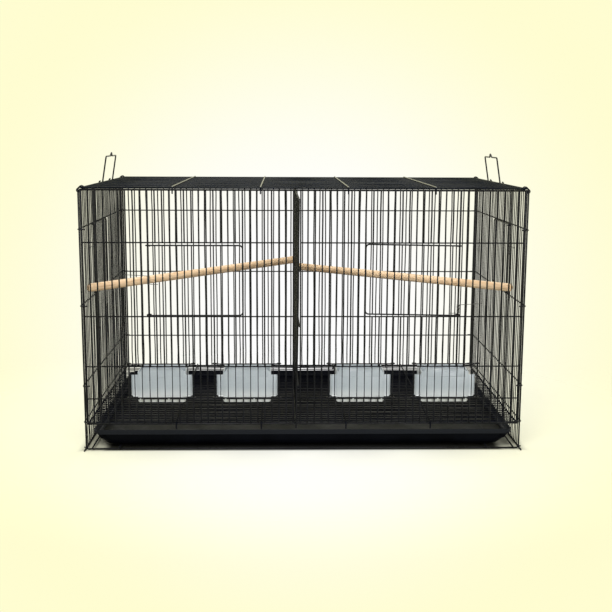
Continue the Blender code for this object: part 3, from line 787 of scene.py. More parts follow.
@dataclass(frozen=True)
class Finishes:
    """The cage's materials, apart from the wood of the perches."""

    wire: bpy.types.Material
    roof: bpy.types.Material
    under: bpy.types.Material
    painted_glint: bpy.types.Material
    spring: bpy.types.Material
    tray: bpy.types.Material
    cup: bpy.types.Material

    @classmethod
    def build(cls) -> "Finishes":
        """Builds the materials from their finishes.

        Returns:
            The materials.
        """
        finishes = {
            "wire": CoatFinish(
                "black_wire_coating", (0.0026, 0.0029, 0.0042, 1.0),
                (0.0060, 0.0066, 0.0095, 1.0), (0.24, 0.38), dust=0.008, specular=0.12),
            # Painted shade: the roof wears a darker, bluer copy of the wire coating.
            "roof": CoatFinish(
                "blue_black_roof_coating", (0.0008, 0.0018, 0.0046, 1.0),
                (0.0026, 0.0046, 0.0104, 1.0), (0.18, 0.30), specular=0.04),
            "under": CoatFinish(
                "dull_floor_coating", (0.0030, 0.0034, 0.0056, 1.0),
                (0.0070, 0.0080, 0.0125, 1.0), (0.45, 0.60), specular=0.01),
            # Painted glint: a lighter copy of the wire coating, for the roof's cross wires.
            "painted_glint": CoatFinish(
                "bright_cross_wire_coating", (0.020, 0.021, 0.022, 1.0),
                (0.040, 0.042, 0.045, 1.0), (0.24, 0.34), dust=0.02, specular=0.6),
            "spring": CoatFinish(
                "dark_spring_steel", (0.030, 0.030, 0.030, 1.0),
                (0.060, 0.058, 0.055, 1.0), (0.28, 0.42), dust=0.02, metallic=0.6),
            # The tray's upper band gets a painted highlight from painted_highlight_from up.
            "tray": CoatFinish(
                "black_tray_plastic", (0.0004, 0.0006, 0.0012, 1.0),
                (0.0015, 0.0019, 0.0034, 1.0), (0.36, 0.52), patch=18.0, grain=900.0,
                depth=0.00004, dust=0.085, specular=0.03, painted_highlight_from=0.0262),
            # The cups' lower part is paler from painted light.
            "cup": MilkyPlastic(
                "milky_cup_plastic", (0.312, 0.350, 0.380, 1.0), (0.350, 0.390, 0.418, 1.0),
                (0.28, 0.4), patch=30.0, grain=500.0, depth=0.00003)}
        effects = SharedEffects.build()
        return cls(**{name: finish.material(effects) for name, finish in finishes.items()})


def hand_over(piece: Solid, node: str, body: str, finish: bpy.types.Material,
              blend: tuple[str, Point, Point] | None = None) -> None:
    """Dresses a finished piece and ties it to the CAD node that it stands for.

    Args:
        piece: The finished piece.
        node: The node it replaces.
        body: The body it moves with.
        finish: Its material.
        blend: When given, the piece is left in place and tied to no body; what it holds, a second
            body and where a bend would start and end, is not used.
    """
    piece.data.materials.clear()
    piece.data.materials.append(finish)
    if blend:
        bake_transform(piece)
    else:
        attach(piece, body)
    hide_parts(node)
    log.info("%s: %d faces", piece.name, len(piece.data.polygons))


@dataclass(frozen=True)
class Upright:
    """One thin wire of a grille, across its long wires. A steady one guides a door."""

    s: float
    low: float
    high: float
    steady: bool = False


@dataclass(frozen=True)
class Row:
    """One straight wire of a grille, along it."""

    z: float
    start: float
    end: float
    radius: float
    out: float = 0.0


@dataclass
class Grille:
    """Flat grille of thin wires welded to thicker ones.

    A point on it is given by s along its long wires, its distance out and z along its uprights.
    """

    name: str
    place: Place
    thin: float
    stray: float = 0.0
    free_span: float = 0.012
    facets: int = 10
    bead: float = 1.22
    bead_smooth: float = 0.15
    uprights: list[Upright] = field(default_factory=list)
    rows: list[Row] = field(default_factory=list)
    spot_rows: list[Row] = field(default_factory=list)
    extras: list[Solid] = field(default_factory=list)

    def add_rod(self, start: Point, end: Point, radius: float, sides: int = 12) -> None:
        """Adds a straight wire between two points of the grille."""
        self.extras.append(Bench.rod(self.place(*start), self.place(*end), radius, sides))

    def add_bent(self, corners: Iterable[Point], bend: float, radius: float) -> None:
        """Adds a bent wire through some points of the grille."""
        path = Bench.rounded([self.place(*corner) for corner in corners], bend)
        self.extras.append(Bench.bent(path, radius))

    def add_hooked(self, z: float, out: float, tip: float, bend: float) -> None:
        """Adds a long wire whose two ends are bent round the front and back grilles.

        Args:
            z: Where the wire crosses the uprights.
            out: Its distance out.
            tip: How far its cut ends lean inwards.
            bend: Radius of its bends.
        """
        low = out - CAGE.hook_depth
        hook = [(CAGE.hook_y - tip, low, z), (CAGE.hook_y, low + CAGE.hook_lead, z),
                (CAGE.hook_y, out, z)]
        front = [(-s, away, level) for s, away, level in hook]
        self.add_bent(front + hook[::-1], bend, CAGE.cross)

    def add_border(self, post: float) -> None:
        """Adds the end wires and the outer long wires of the front or back grille.

        Args:
            post: Radius of the end wires.
        """
        for side in Side:
            x = side * CAGE.width / 2
            self.add_rod((x, -CAGE.post_shift, CAGE.bottom), (x, -CAGE.post_shift, CAGE.front_top),
                         post)
        for z in (CAGE.bottom, CAGE.front_top):
            self.rows.append(Row(z, -CAGE.rail_end, CAGE.rail_end, CAGE.edge))

    def _wires(self) -> list[Solid]:
        """Models one wire of each length and copies it along the grille.

        Returns:
            One object for each length.
        """
        groups: dict[tuple[float, float], list[Upright]] = {}
        for wire in self.uprights:
            groups.setdefault((wire.low, wire.high), []).append(wire)
        made = []
        for (low, high), wires in groups.items():
            first = self.place(wires[0].s, 0.0, low)
            run = self.place(wires[0].s, 0.0, high) - first
            pattern = Bench.rod(first, first + run, self.thin, self.facets)
            moves = [self.place(wire.s, 0.0, low) - first for wire in wires]
            bend = None
            if self.stray:
                held = sorted({row.z for row in (*self.rows, *self.spot_rows)
                               if low < row.z < high} | {low, high})
                middles = [(a + b) / 2 for a, b in zip(held, held[1:]) if b - a > self.free_span]
                for z in sorted(held[1:-1] + middles):
                    Bench.select(pattern, "VERT")
                    bpy.ops.mesh.bisect(plane_co=self.place(wires[0].s, 0.0, z), plane_no=run)
                bend = self._straying(wires, middles, first, run)
            made.append(Bench.stamp(pattern, moves, bend))
        return made

    def _straying(self, wires: Sequence[Upright], middles: Sequence[float], first: Vector,
                  run: Vector) -> Callable[[int, Vector], Vector]:
        """Lets each wire stray a little between the long wires that hold it.

        Args:
            wires: The wires, in the order of their copies.
            middles: Places along a wire, midway between two long wires.
            first: Lower end of the first wire.
            run: From the lower to the upper end.

        Returns:
            The offset of a point of the numbered copy.
        """
        dice = random.Random(f"{self.name} {len(wires)} {first.z:.4f}")
        across = self.place(1.0, 0.0, 0.0) - self.place(0.0, 0.0, 0.0)
        out = self.place(0.0, 1.0, 0.0) - self.place(0.0, 0.0, 0.0)
        low = wires[0].low
        offsets = [{round(z - low, 5): dice.uniform(-1, 1) * across + dice.uniform(-1, 1) * out
                    for z in middles} for _ in wires]

        def bend(number: int, place: Vector) -> Vector:
            """Finds the offset of one point.

            Args:
                number: Number of the wire.
                place: The point.

            Returns:
                Its offset.
            """
            along = (place - first).dot(run) / run.length
            for middle, offset in offsets[number].items():
                if abs(middle - along) < NEAR and not wires[number].steady:
                    return self.stray * offset
            return Vector()

        return bend

    def _spots(self) -> Solid:
        """Puts a small weld bead at each crossing.

        Returns:
            One object with all the beads.
        """
        places = []
        for row in (*self.rows, *self.spot_rows):
            out = row.out * self.thin / (self.thin + row.radius)
            start, end = sorted((row.start, row.end))
            places.extend(self.place(wire.s, out, row.z) for wire in self.uprights
                          if start - NEAR < wire.s < end + NEAR
                          and wire.low - CLOSE < row.z < wire.high + CLOSE)
        Bench.clear()
        bpy.ops.mesh.primitive_ico_sphere_add(subdivisions=1, radius=self.bead * self.thin)
        bead = bpy.context.object
        Bench.select(bead, "VERT")
        bpy.ops.mesh.vertices_smooth(factor=self.bead_smooth)
        bpy.ops.object.mode_set(mode="OBJECT")
        bpy.ops.object.shade_smooth()
        return Bench.stamp(bead, places)

    def build(self) -> Solid:
        """Builds the whole grille as one object.

        Returns:
            The grille.
        """
        pieces = self._wires()
        for row in self.rows:
            pieces.append(Bench.rod(self.place(row.start, row.out, row.z),
                                    self.place(row.end, row.out, row.z), row.radius))
        return Bench.join(self.name, [*pieces, self._spots(), *self.extras])


def on_front(s: float, out: float, z: float) -> Vector:
    """Point on the front grille, the given distance in front of its plane."""
    return Vector((s, CAGE.front_y - out, z))


def on_back(s: float, out: float, z: float) -> Vector:
    """Point on the back grille, the given distance behind its plane."""
    return Vector((s, -CAGE.front_y + out, z))


def on_side(side: Side) -> Place:
    """Finds the points of one side grille, where s runs back."""
    return lambda s, out, z: Vector((side * (CAGE.side_x + out), s, z))


def on_roof(s: float, out: float, z: float) -> Vector:
    """Point on the roof: s runs back, z runs along X."""
    return Vector((z, s, CAGE.roof_z + out))


def on_floor(s: float, out: float, z: float) -> Vector:
    """Point on the floor grille: s runs back, z runs along X."""
    return Vector((z, s, CAGE.floor_z + out))


def on_divider(s: float, out: float, z: float) -> Vector:
    """Point on the divider: s runs back."""
    return Vector((CAGE.divider_x + out, s, z))


@dataclass
class FrontPanel:
    """Front grille with door, feeding and divider openings."""

    guides: tuple[int, ...] = (0, 1, 3, 12, 15, 24)
    slot_lap: float = 0.0012
    wire: float = 0.00134
    post: float = 0.00175
    pin: float = 0.00165
    stray: float = 0.0004

    def _spans(self, wire: int) -> list[tuple[float, float]]:
        """Finds what the openings leave of one upright wire.

        Args:
            wire: Number of the wire.

        Returns:
            Bottom and top of each piece.
        """
        ends = [CAGE.bottom - CAGE.reach]
        if any(first < wire < last for first, last in CAGE.banks):
            ends += [CAGE.sill + CAGE.stick, CAGE.feed_top - CAGE.stick]
        if CAGE.door_free < wire < CAGE.door_hinge:
            ends += [CAGE.door_sill + CAGE.stick, CAGE.door_head - CAGE.stick]
        ends.append(CAGE.front_top + CAGE.reach)
        return list(zip(ends[::2], ends[1::2]))

    def build(self) -> Solid:
        """Builds the front grille.

        Returns:
            The grille.
        """
        grille = Grille("front_grille", on_front, self.wire, self.stray)
        for side in Side:
            for wire in range(CAGE.front_gaps // 2):
                x = CAGE.front_x(wire, side)
                for low, high in self._spans(wire):
                    if wire == CAGE.door_hinge and high > CAGE.door_head:
                        grille.add_rod((x, 0.0, low), (x, 0.0, high), self.pin,
                                       CAGE.pin_facets)
                    else:
                        grille.uprights.append(Upright(x, low, high, wire in self.guides))
        grille.add_border(self.post)
        left = CAGE.front_x(1, Side.LEFT) + self.slot_lap
        right = CAGE.front_x(0, Side.LEFT) - self.slot_lap
        for z in (CAGE.sill, CAGE.feed_top, CAGE.door_sill, CAGE.door_head):
            for start, end in ((-CAGE.row_end, left), (right, CAGE.row_end)):
                grille.rows.append(Row(z, start, end, CAGE.cross, -CAGE.row_out))
        return grille.build()


@dataclass
class BackPanel:
    """Plain back grille."""

    wire: float = 0.00126
    post: float = 0.00175
    stray: float = 0.0008

    def build(self) -> Solid:
        """Builds the back grille.

        Returns:
            The grille.
        """
        grille = Grille("back_grille", on_back, self.wire, self.stray)
        for side in Side:
            for wire in range(CAGE.front_gaps // 2):
                grille.uprights.append(Upright(CAGE.front_x(wire, side), CAGE.bottom - CAGE.reach,
                                               CAGE.front_top + CAGE.reach))
        grille.add_border(self.post)
        for z in CAGE.side_rows[1:]:
            grille.rows.append(Row(z, -CAGE.row_end, CAGE.row_end, CAGE.cross, -CAGE.row_out))
        return grille.build()


@dataclass
class SidePanel:
    """Side grille with its foot wire, nest opening and hooked long wires."""

    side: Side
    overhang: float = 0.0195
    lap: float = 0.0005
    wire: float = 0.00094
    post: float = 0.0015
    stray: float = 0.0004
    hook_tip: float = 0.0008
    hook_bend: float = 0.0032

    def build(self) -> Solid:
        """Builds the side grille.

        Returns:
            The grille.
        """
        grille = Grille(f"{self.side.name.lower()}_side_grille", on_side(self.side), self.wire,
                        self.stray)
        foot, top = CAGE.side_edge, CAGE.side_top
        for wire in range(1, CAGE.side_gaps):
            y = CAGE.side_y(wire)
            if wire == CAGE.nest_hinge:
                grille.add_rod((y, 0.0, foot), (y, 0.0, top), CAGE.pin, CAGE.pin_facets)
            elif CAGE.nest_hinge < wire < CAGE.nest_free:
                grille.uprights.append(Upright(y, foot, CAGE.side_rows[2] + CAGE.stick))
                grille.uprights.append(Upright(y, CAGE.side_rows[3] - CAGE.stick, top))
            else:
                grille.uprights.append(Upright(y, foot, top))
        for end in End:
            y = end * CAGE.depth / 2
            grille.add_rod((y, CAGE.post_shift, foot), (y, CAGE.post_shift, top), self.post)
        for z, over in ((foot, self.overhang), (top, CAGE.side_edge + self.lap)):
            reach = CAGE.depth / 2 + over
            grille.rows.append(Row(z, -reach, reach, CAGE.side_edge))
        for z in CAGE.side_rows:
            grille.add_hooked(z, CAGE.row_out, self.hook_tip, self.hook_bend)
            grille.spot_rows.append(Row(z, -CAGE.depth / 2, CAGE.depth / 2, CAGE.cross,
                                        CAGE.row_out))
        return grille.build()


@dataclass
class FlatPanel:
    """Roof or floor grille, hooked over the front and back."""

    name: str
    place: Place
    thin: float
    half_depth: float
    gaps: int
    end_x: float
    end_radius: float
    outer_out: float = 0.0
    outer_lap: float = 0.0008
    press: float = 0.0004
    stray: float = 0.0009
    hook_tip: float = 0.0006
    hook_bend: float = 0.003
    cross_steps: tuple[int, ...] = (-18, -6, 6, 18)

    def build(self) -> Solid:
        """Builds the panel.

        Returns:
            The panel.
        """
        grille = Grille(self.name, self.place, self.thin, self.stray)
        for wire in range(1, self.gaps):
            y = -self.half_depth + wire * 2 * self.half_depth / self.gaps
            grille.uprights.append(Upright(y, -self.end_x, self.end_x))
        half = self.end_x + self.outer_lap
        reach = self.half_depth + CAGE.roof_corner
        for sign in (-1, 1):
            y = sign * self.half_depth
            grille.add_rod((y, self.outer_out, -half), (y, self.outer_out, half),
                           CAGE.roof_corner)
            grille.rows.append(Row(sign * self.end_x, -reach, reach, self.end_radius))
        out = self.thin + CAGE.cross - CAGE.weld
        lift = max(out, self.outer_out + CAGE.roof_corner + CAGE.cross - self.press)
        for step in self.cross_steps:
            x = step * CAGE.pitch
            grille.add_hooked(x, lift, self.hook_tip, self.hook_bend)
            grille.spot_rows.append(Row(x, -self.half_depth, self.half_depth, CAGE.cross, out))
        return grille.build()


@dataclass
class Divider:
    """Slide-out middle grille with a hooked front end, whose top leans in its slot."""

    front: float = -0.2316
    back: float = 0.22245
    low: float = 0.0490
    high: float = 0.4411
    hook: float = 0.0120
    lap: float = 0.0008
    frame_wire: float = 0.0014
    corner: float = 0.004
    foot_lap: tuple[float, float] = (0.001, 0.0002)
    stray: float = 0.0004
    lean: float = 0.0044
    lean_full: float = 0.55
    tip: float = 0.0012
    tip_start: float = 0.62

    def build(self) -> Solid:
        """Builds the divider.

        Returns:
            The divider.
        """
        grille = Grille("divider_grille", on_divider, CAGE.thin, self.stray)
        front, back, low, high = self.front, self.back, self.low, self.high
        count = CAGE.side_gaps - 1
        for wire in range(1, count):
            grille.uprights.append(Upright(front + wire * (back - front) / count, low, high))
        for z in CAGE.divider_rows:
            grille.rows.append(Row(z, front - self.lap, back + self.lap, CAGE.cross,
                                   CAGE.row_out))
        grille.add_bent([(front, 0.0, low - self.hook), (front, 0.0, high), (back, 0.0, high),
                         (back, 0.0, low),
                         (front + self.foot_lap[0], 0.0, low + self.foot_lap[1])],
                        self.corner, self.frame_wire)
        divider = grille.build()
        for vert in divider.data.vertices:
            up = max((vert.co.z - low) / (high - low), 0.0)
            behind = (vert.co.y - front) / (back - front)
            vert.co.x += self.lean * (1 - behind) * min(up / self.lean_full, 1.0)
            vert.co.x += self.tip * behind * max(up - self.tip_start, 0.0) / (1 - self.tip_start)
        return divider


@dataclass
class BaseFrame:
    """Ground frame between the feet, with the runners that carry the tray."""

    rail_y: float = 0.2350
    rail_z: float = 0.0015
    over_z: float = 0.0045
    inner_x: float = 0.3811
    outer_x: float = 0.3868
    end_wire: float = 0.00115
    end_bend: float = 0.0014
    end_lean: float = 0.0004
    rail_gap: float = 0.002
    runner_z: float = 0.0042
    runner_wire: float = 0.0014
    runner_lap: float = 0.0075
    runner_xs: tuple[float, ...] = (0.372, 0.325)

    def build(self) -> Solid:
        """Builds the base frame.

        Returns:
            The frame.
        """
        pieces = []
        for end in End:
            y = end * self.rail_y
            half = [(self.outer_x, y, self.over_z), (self.inner_x, y, self.over_z),
                    (self.inner_x - self.end_lean, y, self.rail_z)]
            path = half + [(-x, y, z) for x, y, z in reversed(half)]
            pieces.append(Bench.bent(Bench.rounded(path, self.end_bend, 4), self.end_wire))
            reach = self.inner_x - self.rail_gap
            pieces.append(Bench.rod((-reach, y, self.rail_z), (reach, y, self.rail_z),
                                    CAGE.side_edge))
        reach = self.rail_y + self.runner_lap
        for side in Side:
            for x in self.runner_xs:
                pieces.append(Bench.rod((side * x, -reach, self.runner_z),
                                        (side * x, reach, self.runner_z), self.runner_wire))
        return Bench.join("base_wires", pieces)


@dataclass
class Tray:
    """Pull-out tray with flared walls, rounded corners and a lip that is turned down."""

    front: float = -0.2320
    back: float = 0.2220
    rise: float = 0.0060
    height: float = 0.0250
    top_x: float = 0.3685
    base_x: float = 0.3450
    base_inset: float = 0.005
    bend_at: float = 0.68
    bend_inset: tuple[float, float] = (0.004, 0.0008)
    corner: float = 0.012
    base_edge: float = 0.002
    lip: float = 0.0028
    lip_rise: float = 0.0003
    fold: float = 0.0048
    wall: float = 0.0012
    corner_steps: int = 6
    rim_at: float = 0.99
    edge: float = 0.0004
    edge_angle: float = 40.0

    def build(self) -> Solid:
        """Builds the tray.

        Returns:
            The tray.
        """
        back = self.back - self.lip
        middle = (self.front + back) / 2
        half = (back - self.front) / 2
        bend = self.rise + self.bend_at * self.height
        top = self.rise + self.rim_at * self.height

        def narrow(x: float, y: float, z: float = 0.0) -> None:
            """Resizes what is selected about the tray's middle, from the size of its top."""
            bpy.ops.transform.resize(value=(x / self.top_x, y / half, 1.0),
                                     center_override=(0.0, middle, z))

        tray = Bench.box((-self.top_x, self.front, self.rise),
                         (self.top_x, back, self.rise + self.height))
        Bench.select(tray, "FACE")
        bpy.ops.mesh.bisect(plane_co=(0.0, 0.0, bend), plane_no=(0.0, 0.0, 1.0))
        Bench.select(tray, "VERT", lambda place: place.z < self.rise + CLOSE)
        narrow(self.base_x, half - self.base_inset, self.rise)
        Bench.select(tray, "VERT", lambda place: abs(place.z - bend) < CLOSE)
        narrow(self.top_x - self.bend_inset[0], half - self.bend_inset[1], bend)
        Bench.select(tray, "EDGE", lambda place: abs(place.x) > self.base_x
                     and self.rise + 2 * CLOSE < place.z < top and abs(place.z - bend) > CLOSE)
        bpy.ops.mesh.bevel(offset=self.corner, segments=self.corner_steps, profile=0.5)
        Bench.select(tray, "EDGE", lambda place: place.z < self.rise + CLOSE / 2)
        bpy.ops.mesh.bevel(offset=self.base_edge, segments=3, profile=0.5)
        Bench.select(tray, "FACE", lambda place: place.z > top)
        bpy.ops.mesh.delete(type="ONLY_FACE")
        Bench.select(tray, "EDGE", lambda place: place.z > top)
        bpy.ops.mesh.extrude_region_move()
        narrow(self.top_x + self.lip - self.wall, half + self.lip - self.wall)
        bpy.ops.transform.translate(value=(0.0, 0.0, self.lip_rise))
        bpy.ops.mesh.extrude_region_move(
            TRANSFORM_OT_translate={"value": (0.0, 0.0, -self.fold)})
        bpy.ops.mesh.select_all(action="SELECT")
        bpy.ops.mesh.normals_make_consistent(inside=False)
        Bench.clear()
        thick = tray.modifiers.new("wall", "SOLIDIFY")
        thick.thickness = self.wall
        thick.offset = -1.0
        Bench.apply(tray)
        Bench.soften(tray, self.edge, angle=self.edge_angle)
        return Bench.join("tray_moulding", [tray])


@dataclass
class SwingDoor:
    """Door of one bent frame wire with its eyes curled round the hinge wire."""

    name: str
    place: Place
    hinge: float
    free: float
    low: float
    high: float
    inner: list[float]
    wire: float = 0.0011
    radius: float = 0.0013
    corner: float = 0.006
    corner_steps: int = 8
    eye_facets: int = 16
    eye_turn: float = 280.0
    eye_rise: float = 0.0012
    tilt: float = 0.0

    def _eye(self, z: float, rise: float) -> list[Vector]:
        """Curls the frame wire round the hinge wire.

        Args:
            z: Height of the straight wire.
            rise: How far the cut end lies above it.

        Returns:
            The curl, from its cut end to the straight wire.
        """
        away = math.copysign(1.0, self.hinge - self.free)
        return [self.place(self.hinge + away * across, out, z + rise * share)
                for across, out, share in Bench.curl(CAGE.eye, self.eye_turn, self.eye_facets)]

    def build(self) -> Solid:
        """Builds the door.

        Returns:
            The door.
        """
        away = math.copysign(1.0, self.hinge - self.free)
        path = self._eye(self.low, self.eye_rise)
        for middle, start in ((self.low + self.corner, -90), (self.high - self.corner, 0)):
            for step in range(self.corner_steps + 1):
                angle = math.radians(start + 90 / self.corner_steps * step)
                s = self.free + away * self.corner * (1 - math.cos(angle))
                path.append(self.place(s, CAGE.eye, middle + self.corner * math.sin(angle)))
        path.extend(reversed(self._eye(self.high, -self.eye_rise)))
        grille = Grille(self.name, lambda s, out, z: self.place(s, CAGE.eye + out, z), self.wire)
        grille.extras.append(Bench.bent(path, self.radius))
        for s in self.inner:
            grille.uprights.append(Upright(s, self.low, self.high))
        for z in (self.low, self.high):
            grille.spot_rows.append(Row(z, self.hinge, self.free, self.radius))
        door = grille.build()
        for vert in door.data.vertices if self.tilt else ():
            reach = (vert.co.x - self.hinge) / (self.free - self.hinge)
            vert.co.z += self.tilt * max(reach, 0.0)
        return door


@dataclass
class CoilSpring:
    """Torsion spring round a hinge wire, with an arm on the grille and one on the door."""

    name: str
    place: Place
    hinge: float
    away: float
    low: float
    turns: int = 6
    pitch: float = 0.0024
    facets: int = 16
    radius: float = 0.00243
    wire: float = 0.0005
    stand_off: float = 0.0015
    arm: float = 0.0415
    arm_from: float = 0.004
    arm_gap: float = 0.0002
    arm_level: float = 0.003
    arm_rise: float = 0.002
    arm_hook: tuple[float, float] = (0.0006, -0.001)
    arm_bend: float = 0.0015
    door_arm: float = 0.0165
    door_arm_steps: tuple[float, float] = (0.0095, 0.0045)
    tip: float = 0.0012
    bend: tuple[float, float] = (0.0035, 0.0100)

    def build(self) -> Solid:
        """Builds the spring.

        Returns:
            The spring.
        """
        ahead = CAGE.eye + self.stand_off
        top = self.low + self.pitch * self.turns
        far, near = self.door_arm_steps
        door_arm = [(-self.door_arm, ahead - self.tip, self.low),
                    (self.tip - self.door_arm, ahead, self.low), (-far, ahead, self.low),
                    (-near, self.radius + self.wire, self.low)]
        coil = []
        for step in range(self.facets * self.turns + 1):
            angle = math.tau * step / self.facets
            coil.append((self.radius * math.sin(angle), self.radius * math.cos(angle),
                         self.low + self.pitch * step / self.facets))
        arm = [(self.arm_from, self.radius, top + self.arm_gap),
               (self.arm - self.arm_level, self.radius, top + self.arm_rise),
               (self.arm, self.radius - self.arm_hook[0], top + self.arm_rise),
               (self.arm, self.arm_hook[1], top + self.arm_rise)]

        def placed(points: Sequence[Point]) -> list[Vector]:
            """Places points that are given from the hinge wire."""
            return [self.place(self.hinge + self.away * s, out, z) for s, out, z in points]

        path = placed(door_arm + coil) + Bench.rounded(placed(arm), self.arm_bend)
        return Bench.join(self.name, [Bench.bent(path, self.wire, resolution=2)])


@dataclass
class FeederDoor:
    """Lift-up feeding door whose four eyes slide on two front wires."""

    name: str
    left: float
    right: float
    low: float = 0.0927
    high: float = 0.1537
    wires: int = 8
    span: float = 0.0918
    lap: float = 0.0006
    eye: float = 0.00305
    eye_facets: int = 14
    eye_turn: float = 290.0
    wire: float = 0.0008
    radius: float = 0.0011

    def _eye(self, centre: float, away: int, z: float) -> list[Vector]:
        """Curl round one front wire, from its cut end to the straight wire."""
        return [on_front(centre + away * across, out, z)
                for across, out, _ in Bench.curl(self.eye, self.eye_turn, self.eye_facets)]

    def build(self) -> Solid:
        """Builds the feeding door.

        Returns:
            The door.
        """
        grille = Grille(self.name, lambda s, out, z: on_front(s, self.eye + out, z), self.wire)
        for z in (self.low, self.high):
            path = self._eye(self.left, -1, z) + self._eye(self.right, 1, z)[::-1]
            grille.extras.append(Bench.bent(path, self.radius))
            grille.spot_rows.append(Row(z, self.left, self.right, self.radius))
        middle = (self.left + self.right) / 2
        for wire in range(self.wires):
            s = middle + self.span * (wire / (self.wires - 1) - 0.5)
            grille.uprights.append(Upright(s, self.low - self.lap, self.high + self.lap))
        return grille.build()


@dataclass
class FeedCup:
    """Moulded cup hung on the sill wire, with side wings and a thumb recess."""

    name: str
    side: Side
    first: int
    last: int
    face: float = -0.2238
    low: float = 0.0830
    high: float = 0.1440
    depth: float = 0.056
    wall: float = 0.002
    width: float = 0.107
    tub_width: float = 0.084
    tub_drop: float = 0.006
    tub_step: float = 0.0004
    chamfer: float = 0.004
    base: float = 0.010
    base_step: float = 0.0075
    base_share: tuple[float, float] = (0.88, 0.78)
    wing_rise: float = 0.003
    wing_drop: float = 0.012
    wing_step: float = 0.0018
    wing_cut: float = 0.003
    brow_width: float = 0.076
    brow: float = 0.016
    brow_step: float = 0.0002
    brow_cut: float = 0.005
    recess: tuple[float, float, float] = (0.0185, 0.0009, 0.014)
    recess_lap: float = 0.002
    edge: float = 0.0005
    brow_edge: float = 0.0004
    finger_edge: float = 0.0003
    finger: float = 0.0024
    finger_lap: float = 0.001
    finger_sink: float = 0.0002
    finger_drop: float = 0.0022
    finger_wall: float = 0.0014
    finger_tip: float = 0.0012
    finger_back: float = 0.0014
    finger_step: int = 2

    @property
    def middle(self) -> float:
        """X of the cup's middle."""
        return self.side * (self.first + self.last + 1) / 2 * CAGE.pitch

    def _tub(self) -> Solid:
        """Models the deep part of the cup, with its hollow pushed in from the top.

        Returns:
            The tub.
        """
        half = self.tub_width / 2
        top = self.high - self.tub_drop
        tub = Bench.box((self.middle - half, self.face + self.tub_step, self.low),
                        (self.middle + half, self.face + self.depth, top))
        Bench.select(tub, "EDGE", lambda place: place.z < self.low + SAME
                     and abs(place.x - self.middle) > half - SAME)
        bpy.ops.mesh.bevel(offset=self.chamfer, segments=4)
        Bench.select(tub, "FACE", lambda place: place.z > top - NEAR)
        bpy.ops.mesh.inset(thickness=self.wall)
        for drop in (top - self.low - self.base, self.base_step):
            bpy.ops.mesh.extrude_region_move(TRANSFORM_OT_translate={"value": (0.0, 0.0, -drop)})
        bpy.ops.transform.resize(value=(*self.base_share, 1.0),
                                 center_override=(self.middle, self.face + self.depth / 2, 0.0))
        Bench.clear()
        Bench.soften(tub, self.edge)
        return tub

    def _plate(self, width: float, low: float, high: float, front: float, cut_top: bool,
               cut: float) -> Solid:
        """Models a flat plate of the cup's face with two corners cut off.

        Args:
            width: Its width.
            low: Its lower edge.
            high: Its upper edge.
            front: Its front.
            cut_top: Whether the upper corners are cut, and not the lower ones.
            cut: Size of the cuts.

        Returns:
            The plate.
        """
        half = width / 2
        plate = Bench.box((self.middle - half, front, low),
                          (self.middle + half, front + self.wall, high))
        level = high if cut_top else low
        Bench.select(plate, "EDGE", lambda place: abs(abs(place.x - self.middle) - half) < SAME
                     and abs(place.y - front - self.wall / 2) < SAME
                     and abs(place.z - level) < SAME)
        bpy.ops.mesh.bevel(offset=cut, segments=1)
        Bench.clear()
        return plate

    def _fingers(self) -> list[Solid]:
        """Models the two fingers that hang over the sill wire.

        Returns:
            The parts of both fingers.
        """
        top = CAGE.sill + CAGE.cross + CAGE.play + self.finger_wall
        y = CAGE.front_y + CAGE.thin - self.finger_back
        half = self.finger / 2
        parts = []
        for step in (-self.finger_step, self.finger_step):
            x = self.side * (round((self.first + self.last) / 2) + step + 1) * CAGE.pitch
            over = ((y, top - self.finger_wall), (self.face + self.finger_lap, top))
            down = ((y, CAGE.sill - self.finger_drop),
                    (y + self.finger_tip, top - self.finger_sink))
            for low, high in (over, down):
                parts.append(Bench.box((x - half, *low), (x + half, *high)))
                Bench.soften(parts[-1], self.finger_edge)
        return parts

    def build(self) -> Solid:
        """Builds the cup.

        Returns:
            The cup.
        """
        wings = self._plate(self.width, CAGE.sill + self.wing_rise, self.high - self.wing_drop,
                            self.face + self.wing_step, False, self.wing_cut)
        Bench.soften(wings, self.edge)
        brow = self._plate(self.brow_width, self.high - self.brow, self.high,
                           self.face + self.brow_step, True, self.brow_cut)
        half, deep, high = self.recess
        lap = self.recess_lap
        Bench.cut(brow, Bench.box((self.middle - half, self.face - lap, self.high - high),
                                  (self.middle + half, self.face + deep, self.high + lap)))
        Bench.soften(brow, self.brow_edge)
        return Bench.join(self.name, [self._tub(), wings, brow, *self._fingers()])


